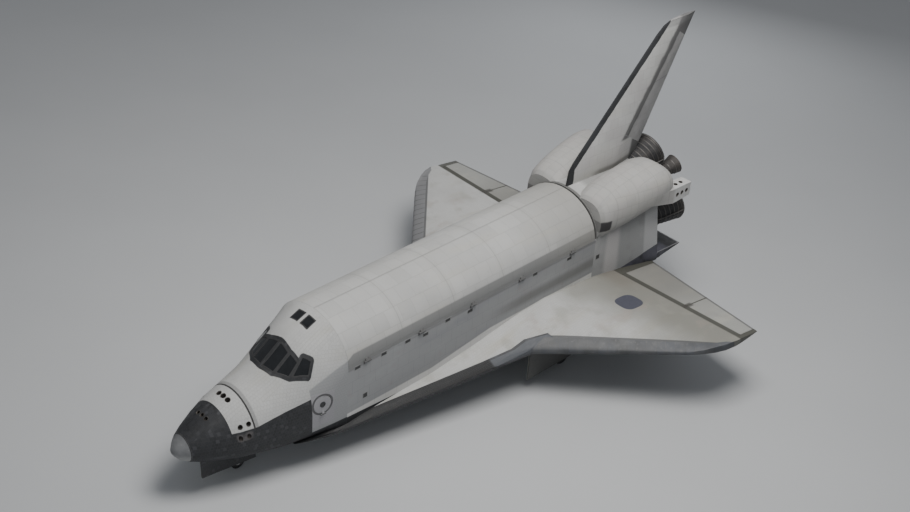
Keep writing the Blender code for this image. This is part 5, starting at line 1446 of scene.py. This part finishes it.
HOOP_SHADES = ((0.085, 0.083, 0.082), (0.20, 0.19, 0.18))
MAIN_PIPES = (60, 180, 300)
ORBITAL_GIMBAL = (-13.55, 2.235, 8.08)
ORBITAL_UP = 15.8
ORBITAL_OUT = 6.5
ORBITAL_HEAD = ((0.10, 0.0), (0.10, 0.22), (0.13, 0.25), (0.70, 0.25), (0.74, 0.23), (0.76, 0.17))
ORBITAL_BELL = ((0.78, 0.16), (1.00, 0.24), (1.30, 0.38), (1.62, 0.49), (1.95, 0.58))
ORBITAL_THROAT = ((0.80, 0.10), (0.76, 0.0))
ORBITAL_WALL = 0.02
ORBITAL_LIP = (1.948, 0.562)
ORBITAL_TONES = ((0.040, 0.038, 0.037), (0.063, 0.058, 0.056), (0.092, 0.080, 0.072))
RING_SECTION = ((-0.02, -0.012), (-0.014, 0.012), (0.014, 0.020), (0.02, 0.004))


def aimed(gimbal, up, out):
    """The place of an engine, its X axis down the bell."""
    a, b = math.radians(up), math.radians(out)
    return axle_at(gimbal, (-math.cos(a) * math.cos(b), math.cos(a) * math.sin(b), math.sin(a)))


def eased(points, steps):
    """More points along a profile, on a smooth curve through its own."""
    made = []
    for i in range(len(points) - 1):
        before = Vector(points[max(i - 1, 0)])
        start, end = Vector(points[i]), Vector(points[i + 1])
        after = Vector(points[min(i + 2, len(points) - 1)])
        for k in range(steps):
            t = k / steps
            lean_in, lean_out = (end - before) / 2, (after - start) / 2
            made.append(
                start * (2 * t**3 - 3 * t**2 + 1) + lean_in * (t**3 - 2 * t**2 + t)
                + end * (3 * t**2 - 2 * t**3) + lean_out * (t**3 - t**2)
            )
    return [tuple(point) for point in made] + [points[-1]]


def bell_finish(name, place, flutes, mouth, tones, metal):
    """Fluted metal of a bell, stained by heat, darkest inside."""
    finish = Finish(name, stance @ place)
    x, y, z, _ = finish.place()
    _, ny, nz = finish.facing()
    inside = (y * ny + z * nz).rise(0.0, -0.02)
    angle = y.maths("ARCTAN2", y, z)
    flute = abs(angle.maths("SINE", angle * (flutes / 2)))
    stain = finish.noise(1.6, 5.0)
    drips = finish.noise(2.2, 3.0, (0.25, 1, 1))
    colour = finish.mix(stain.rise(0.35, 0.68), tones[0], tones[1])
    colour = finish.mix(drips.rise(0.52, 0.75) * 0.5, colour, tones[2])
    colour = finish.mix(x.rise(mouth - 0.5, mouth) * 0.30, colour, (0.10, 0.085, 0.075))
    tubes = finish.mix(flute, (0.10, 0.095, 0.090), (0.25, 0.235, 0.225))
    colour = finish.mix(inside * 0.9, colour, finish.shade(tubes, 0.6 + stain * 0.8))
    finish.surface(
        Base_Color=colour, Roughness=0.42 + stain * 0.25, Metallic=metal,
        Normal=finish.bump(flute + stain * 0.4, 0.004),
    )
    return finish


def bell_section(head, curve, lip, wall, throat):
    """The outline of half a bell: its head, out along its curve, and back inside its wall."""
    return [*head, *curve, lip, *[(d, r - wall) for d, r in reversed(curve[:-1])], *throat]


def round_section(at, radius, width, height):
    """Ten points round a hoop's own section."""
    angles = [math.tau * k / 10 for k in range(10)]
    return [(at + width * math.sin(a), radius + height * math.cos(a)) for a in angles]


def down_bell(place, points, lift, angle):
    """A line down the outside of a bell, lifted off its (distance, radius) points."""
    return [
        place @ Vector((d, (r + lift) * math.cos(angle), (r + lift) * math.sin(angle))) for d, r in points
    ]


hoop_steel = worn("hoop_steel", (5.0, 4.0), HOOP_SHADES, (0.42, 0.2), metallic=0.75)
curve = eased(MAIN_BELL, 5)
for name, (gimbal, up, out) in MAIN_ENGINES.items():
    place = aimed(gimbal, up, out)
    bell = bmesh.new()
    turned(bell, bell_section(MAIN_HEAD, curve, MAIN_LIP, MAIN_WALL, MAIN_THROAT), 96, place)
    skin_metal = bell_finish(f"{name}_bell_metal", place, 240, MAIN_BELL[-1][0], MAIN_TONES, 0.60)
    build(f"{name}_main_bell", bell, skin_metal, "airframe", stand_for=(f"{name}_main_engine",),
          angle=40)
    hoops = bmesh.new()
    for at in MAIN_HOOPS:
        (d0, r0), (d1, r1) = next(pair for pair in pairwise(curve) if pair[0][0] <= at <= pair[1][0])
        radius = r0 + (r1 - r0) * (at - d0) / (d1 - d0)
        turned(hoops, [(at + d, radius + r) for d, r in HOOP_SECTION], 72, place)
    turned(hoops, round_section(4.10, 1.185, 0.045, 0.030), 72, place, closed=True)
    turned(hoops, round_section(1.33, 0.50, 0.07, 0.06), 48, place, closed=True)
    for turn in MAIN_PIPES:
        a = math.radians(turn)
        line = down_bell(place, curve[:-1], 0.048, a) + down_bell(place, [(4.10, 1.205)], 0, a)
        pipe(hoops, line, 0.038, 10)
        pipe(hoops, down_bell(place, curve[2:-1], 0.036, a + 0.22), 0.014)
    build(f"{name}_bell_hoops", hoops, hoop_steel, "airframe")
curve = eased(ORBITAL_BELL, 5)
for side, sign in SIDES:
    gimbal = (ORBITAL_GIMBAL[0], sign * ORBITAL_GIMBAL[1], ORBITAL_GIMBAL[2])
    place = aimed(gimbal, ORBITAL_UP, sign * ORBITAL_OUT)
    bell = bmesh.new()
    turned(bell, bell_section(ORBITAL_HEAD, curve, ORBITAL_LIP, ORBITAL_WALL, ORBITAL_THROAT), 72, place)
    skin_metal = bell_finish(f"{side}_orbital_metal", place, 110, ORBITAL_BELL[-1][0], ORBITAL_TONES, 0.45)
    build(f"{side}_orbital_bell", bell, skin_metal, "airframe", stand_for=(f"{side}_orbital_engine",),
          angle=40)
    rings = bmesh.new()
    for at, radius in ORBITAL_BELL[1:4]:
        turned(rings, [(at + d, radius + r) for d, r in RING_SECTION], 48, place)
    build(f"{side}_orbital_rings", rings, hoop_steel, "airframe")

# Tyres and wheels
# Ribbed natural rubber tyres on forged aluminium wheels, two to an axle.
# The two halves of each wheel are held together by a ring of bolts.
NOSE_AXLE = (14.78, 0.0, 1.550)
MAIN_AXLE = (-5.11, 3.50, 0.561)
GEARS = {
    "nose": (NOSE_AXLE, 0.405, 0.224, 0.215),
    "port_main": (MAIN_AXLE, 0.5612, 0.41, 0.375),
    "starboard_main": ((MAIN_AXLE[0], -MAIN_AXLE[1], MAIN_AXLE[2]), 0.5612, 0.41, 0.375),
}
TYRE_WALL = ((0.72, 0.0), (0.80, 0.05), (0.955, 0.22), (1.0, 0.45), (0.965, 0.70))
TYRE_SHOULDER = ((0.90, 0.938), (0.78, 0.972))
TREAD_GROOVES = (-0.56, -0.19, 0.19, 0.56)
GROOVE_SECTION = ((-1, 0.0), (-0.6, 0.011), (0.6, 0.011), (1, 0.0))
HUB_FACE = 0.75
CONE_FOOT = 0.35
CONE_SPAN = (0.45, 0.80)
BOLT_SEAT = (0.56, 0.625)
HUB_CAP = ((-0.004, 0.46), (0.012, 0.44), (0.016, 0.36), (0.030, 0.32), (0.034, 0.12), (0.030, 0.0))
RIM_FLANGE = ((0.60, 0.965), (0.70, 0.985), (0.715, 1.03), (0.69, 1.06), (0.64, 1.04))
WHEEL_BOLTS = 9
BOLT = (
    (-0.004, 0), (-0.004, 0.020), (0.012, 0.020), (0.016, 0.016), (0.016, 0.010), (0.026, 0.009), (0.026, 0),
)
BOLT_RIM = 0.28
wheel_paint = Finish("wheel_paint")
wheel_wear = wheel_paint.noise(14.0, 5.0)
wheel_paint.surface(
    Base_Color=wheel_paint.mix(wheel_wear.rise(0.45, 0.75), (0.60, 0.60, 0.59), (0.36, 0.35, 0.33)),
    Roughness=0.42 + wheel_wear * 0.25,
    Metallic=0.25,
    Normal=wheel_paint.bump(wheel_paint.noise(60.0), 0.001),
)


def tyre_finish(name, place, radius):
    """Black rubber, dusty on the side walls, scuffed on the tread, with fine moulding rings."""
    finish = Finish(name, stance @ place)
    _, y, z, _ = finish.place()
    reach = (y * y + z * z).root()
    dust = finish.noise(7.0, 5.0)
    tread = reach.rise(radius * 0.93, radius * 0.975)
    rings = reach.maths("SINE", reach * 260)
    colour = finish.mix(dust.rise(0.40, 0.75), (0.024, 0.024, 0.025), (0.065, 0.063, 0.060))
    colour = finish.mix(tread * 0.55, colour, (0.050, 0.049, 0.048))
    finish.surface(
        Base_Color=colour,
        Roughness=0.78 + dust * 0.14,
        Normal=finish.bump(dust * 0.8 + rings * (1 - tread) * 0.12, 0.003),
    )
    return finish


def tyre_section(radius, half, rim_radius):
    """A tyre's section from one bead over the grooved tread to the other."""
    wall = radius - rim_radius
    side = [(-half * across, rim_radius + wall * up) for across, up in TYRE_WALL]
    side += [(-half * across, radius * up) for across, up in TYRE_SHOULDER]
    tread = []
    for groove in TREAD_GROOVES:
        crown = radius * (1 - 0.030 * abs(groove) ** 2.4)
        tread += [(groove * half + half * 0.045 * across, crown - deep) for across, deep in GROOVE_SECTION]
    return side + tread + [(-across, up) for across, up in reversed(side)]


for gear, (axle, radius, width, offset) in GEARS.items():
    middle = Vector(axle)
    half = width / 2
    rim_radius = radius / 2
    outward = -1 if middle.y < 0 else 1
    for which, sign in (("outer", outward), ("inner", -outward)):
        place = axle_at(middle + Vector((0, sign * offset, 0)), (0, sign, 0))
        tyre = bmesh.new()
        turned(tyre, tyre_section(radius, half, rim_radius), 72, place, closed=True)
        rubber = tyre_finish(f"{gear}_{which}_rubber", place, radius)
        build(f"{gear}_{which}_tyre_ribbed", tyre, rubber, f"{gear}_wheels",
              stand_for=(f"{gear}_{which}_tyre",), angle=36)
        fittings = bmesh.new()
        hub = half * HUB_FACE
        turned(fittings, [(hub + out, rim_radius * up) for out, up in HUB_CAP], 36, place)
        flange = [(half * out, rim_radius * up) for out, up in RIM_FLANGE]
        turned(fittings, flange, 48, place, closed=True)
        cone = (half * (HUB_FACE - CONE_FOOT), rim_radius * (CONE_SPAN[1] - CONE_SPAN[0]))
        slope = Matrix.Rotation(math.atan2(*cone), 4, "Y")
        bolt = [(d * (rim_radius / BOLT_RIM), r * (rim_radius / BOLT_RIM)) for d, r in BOLT]
        for i in range(WHEEL_BOLTS):
            spin = place @ Matrix.Rotation(math.tau * i / WHEEL_BOLTS, 4, "X")
            seat = spin @ Matrix.Translation((half * BOLT_SEAT[0], 0, rim_radius * BOLT_SEAT[1])) @ slope
            turned(fittings, bolt, 6, seat)
        build(f"{gear}_{which}_hub_fittings", fittings, wheel_paint, f"{gear}_wheels")
    coat(f"{gear}_axle", wheel_paint)

# The landing gear legs
# Forged steel struts in white paint: a sleeve, a chromed piston, a drag brace and torque links.
# Clamp bands hold the brake hoses of the main legs, and the nose leg has the same bands.
MAIN_LEG_X, MAIN_LEG_Y, MAIN_AXLE_Z = MAIN_AXLE
NOSE_LEG_X = NOSE_AXLE[0]
MAIN_BANDS = ((2.86, 2.92), (1.56, 1.62), (1.35, 1.42))
NOSE_BANDS = ((3.25, 3.30), (2.55, 2.60), (2.25, 2.32))
BRAKE_DRUM = ((-0.035, 0.105), (-0.035, 0.22), (0.035, 0.22), (0.035, 0.105))
HOSE_LINE = (
    (0.20, 0, 3.40), (0.20, 0, 2.2), (0.21, 0, 1.5), (0.27, 0, 1.18), (0.24, 0.03, 0.92), (0.16, 0.05, 0.74),
)
HOSE_SHADES = ((0.018, 0.018, 0.019), (0.050, 0.050, 0.050))
leg_paint = Finish("leg_paint")
x, _, z, _ = leg_paint.place()
leg_wear = leg_paint.noise(9.0, 5.0)
main_piston = x.rise(0.0, -1.0) * z.rise(1.37, 1.34)
nose_piston = x.rise(0.0, 1.0) * z.rise(2.27, 2.24)
chrome = (main_piston | nose_piston) * z.rise(0.75, 0.80)
leg_colour = leg_paint.mix(leg_wear.rise(0.50, 0.75), (0.62, 0.62, 0.61), (0.40, 0.39, 0.36))
leg_paint.surface(
    Base_Color=leg_paint.mix(chrome, leg_colour, (0.66, 0.67, 0.68)),
    Roughness=0.45 + leg_wear * 0.20 - chrome * 0.30,
    Metallic=0.15 + chrome * 0.80,
    Normal=leg_paint.bump(leg_wear * (1 - chrome), 0.002),
)
hose_rubber = worn("hose_rubber", (20.0, 4.0), HOSE_SHADES, (0.6, 0.2), grain=120.0)


def link(mesh, start, end, wide, narrow, thickness):
    """A flat forged arm between two pins, tapered, its pins across Y."""
    start, end = Vector(start), Vector(end)
    along = (end - start).normalized()
    across = Vector((0, 1, 0))
    flat = along.cross(across)
    for sign in (-1, 1):
        rows = []
        for share, width in ((0.0, wide), (0.5, (wide + narrow) / 2 * 0.9), (1.0, narrow)):
            edge = start.lerp(end, share) + across * (sign * width)
            rows.append([edge - flat * thickness, edge + flat * thickness])
        sheet(mesh, rows, thickness * 1.2)
    radius = thickness * 1.5
    for point, width in ((start, wide), (end, narrow)):
        reach = width * 1.2
        turned(mesh, ((-reach, 0), (-reach, radius), (reach, radius), (reach, 0)), 16, axle_at(point, across))


def bands(mesh, x, y, heights, radii, steps):
    """Clamp bands round a leg, from their lower and upper edges and their inner, edge and outer radii."""
    inner, edge, outer = radii
    for low, high in heights:
        below = ((low, inner), (low, edge), (low + 0.01, outer))
        above = ((high - 0.01, outer), (high, edge), (high, inner))
        turned(mesh, below + above, steps, axle_at((x, y, 0), (0, 0, 1)), closed=True)


coat("nose_leg", leg_paint)
coat("nose_steering_leg", leg_paint)
for side, sign in SIDES:
    coat(f"{side}_main_leg", leg_paint)
    links = bmesh.new()
    leg_y = sign * MAIN_LEG_Y
    knee = (MAIN_LEG_X - 0.52, leg_y, 1.20)
    link(links, (MAIN_LEG_X - 0.19, leg_y, 1.66), knee, 0.11, 0.05, 0.028)
    link(links, knee, (MAIN_LEG_X - 0.15, leg_y, 0.80), 0.05, 0.11, 0.028)
    bands(links, MAIN_LEG_X, leg_y, MAIN_BANDS, (0.168, 0.188, 0.194), 36)
    hoses = bmesh.new()
    for inner in (-1, 1):
        drum_place = axle_at((MAIN_LEG_X, leg_y + inner * 0.15, MAIN_AXLE_Z), (0, 1, 0))
        turned(links, BRAKE_DRUM, 36, drum_place, closed=True)
        at = leg_y + inner * 0.09
        pipe(hoses, [(MAIN_LEG_X + x, at + inner * y, z) for x, y, z in HOSE_LINE], 0.014)
    build(f"{side}_main_torque_links", links, leg_paint, "airframe")
    build(f"{side}_brake_hoses", hoses, hose_rubber, "airframe")
links = bmesh.new()
bands(links, NOSE_LEG_X, 0, NOSE_BANDS, (0.108, 0.124, 0.130), 32)
build("nose_leg_collars", links, leg_paint, "airframe")
nose_links = bmesh.new()
nose_knee = (NOSE_LEG_X + 0.40, 0.0, 2.00)
link(nose_links, (NOSE_LEG_X + 0.11, 0.0, 2.20), nose_knee, 0.07, 0.035, 0.020)
link(nose_links, nose_knee, (NOSE_LEG_X + 0.09, 0.0, 1.76), 0.035, 0.07, 0.020)
build("nose_torque_links", nose_links, leg_paint, "nose_steering")

# The gear doors and the wheel wells
# The doors are black-tiled outside and ribbed and primed inside; the wells are primed too.
RIB_SIZE = (0.045, 0.040)
RIB_SECTION = ((-1, 0), (1, 0), (0.8, 1), (-0.8, 1))
RIB_PITCH = 0.36
RIB_MARGIN = 0.08
door_tiles = Finish("gear_door_tiles")
x, y, z, _ = door_tiles.place()
inward = (y * door_tiles.facing()[1]).rise(-0.3, -0.4)
# painted light: the main gear doors' black tiles are painted lighter, standing in for light on them
main_door_painted_light = (x.rise(2.0, 0.0) * 0.8, (0.110, 0.110, 0.105))
tiles(door_tiles, 1.0, (), (main_door_painted_light, (inward, WELL_PAINT)), x, z)
liner_paint = Finish("door_liner_primer")
liner_wear = liner_paint.noise(3.0, 5.0)
liner_scuffs = liner_paint.noise(24.0, 3.0)
liner_layers = ((liner_scuffs * 0.3, (0.24, 0.25, 0.21)), (liner_wear * 0.7, (0.42, 0.43, 0.36)))
liner_paint.surface(
    Base_Color=liner_paint.over(WELL_PAINT, liner_layers),
    Roughness=0.52 + liner_wear * 0.2,
    Normal=liner_paint.bump(liner_scuffs, 0.0015),
)


def liner(mesh, node, side):
    """The inner plate of a door, from the door's own inner faces, drawn in from its edges."""
    skin = peeled(node, lambda middle, normal: normal.y * side <= -0.5)
    bmesh.ops.dissolve_limit(skin, angle_limit=0.01, verts=skin.verts, edges=skin.edges)
    border = bmesh.ops.inset_region(skin, faces=skin.faces[:], thickness=0.03)["faces"]
    bmesh.ops.delete(skin, geom=border, context="FACES")
    for vert in skin.verts:
        vert.co.y -= side * 0.008
    return thicken_into(mesh, skin, 0.006)


def rib(mesh, tree, start, end, side):
    """A bar along a door's inner face, from one x and z to another, as far as the face goes."""
    width, height = RIB_SIZE
    spots = []
    for i in range(13):
        x = start[0] + (end[0] - start[0]) * i / 12
        z = start[1] + (end[1] - start[1]) * i / 12
        spot, normal = cast(tree, (x, side * 0.02, z), (0, side, 0))
        if spot is not None and abs(normal.y) > 0.5:
            spots.append(spot)
    if len(spots) < 3:
        return
    way = (spots[-1] - spots[0]).normalized()
    off = Vector((0, -side, 0))
    across = way.cross(off).normalized() * (width / 2)
    rings = []
    for spot in (spots[0], spots[-1]):
        foot = spot - off * 0.004
        rings.append([mesh.verts.new(foot + across * a + off * (height * b)) for a, b in RIB_SECTION])
    lace(mesh, rings)
    mesh.faces.new(rings[0])
    mesh.faces.new(rings[1])


door_liners = bmesh.new()
for side, sign in SIDES:
    for node in (f"{side}_nose_gear_door", f"{side}_main_gear_door"):
        corners = liner(door_liners, node, sign)
        door_face = in_level(node)
        low_x = min(p.x for p in corners) + RIB_MARGIN
        high_x = max(p.x for p in corners) - RIB_MARGIN
        low_z = min(p.z for p in corners) + RIB_MARGIN
        high_z = max(p.z for p in corners) - RIB_MARGIN
        count = round((high_x - low_x) / RIB_PITCH)
        for i in range(count + 1):
            rib_x = low_x + (high_x - low_x) * i / count
            rib(door_liners, door_face, (rib_x, low_z), (rib_x, high_z), sign)
        for share in (0.0, 0.5, 1.0):
            rib_z = low_z + (high_z - low_z) * share
            rib(door_liners, door_face, (low_x, rib_z), (high_x, rib_z), sign)
build("gear_door_liners", door_liners, liner_paint, "airframe")
for node in nodes:
    if node.endswith("gear_door"):
        coat(node, door_tiles)
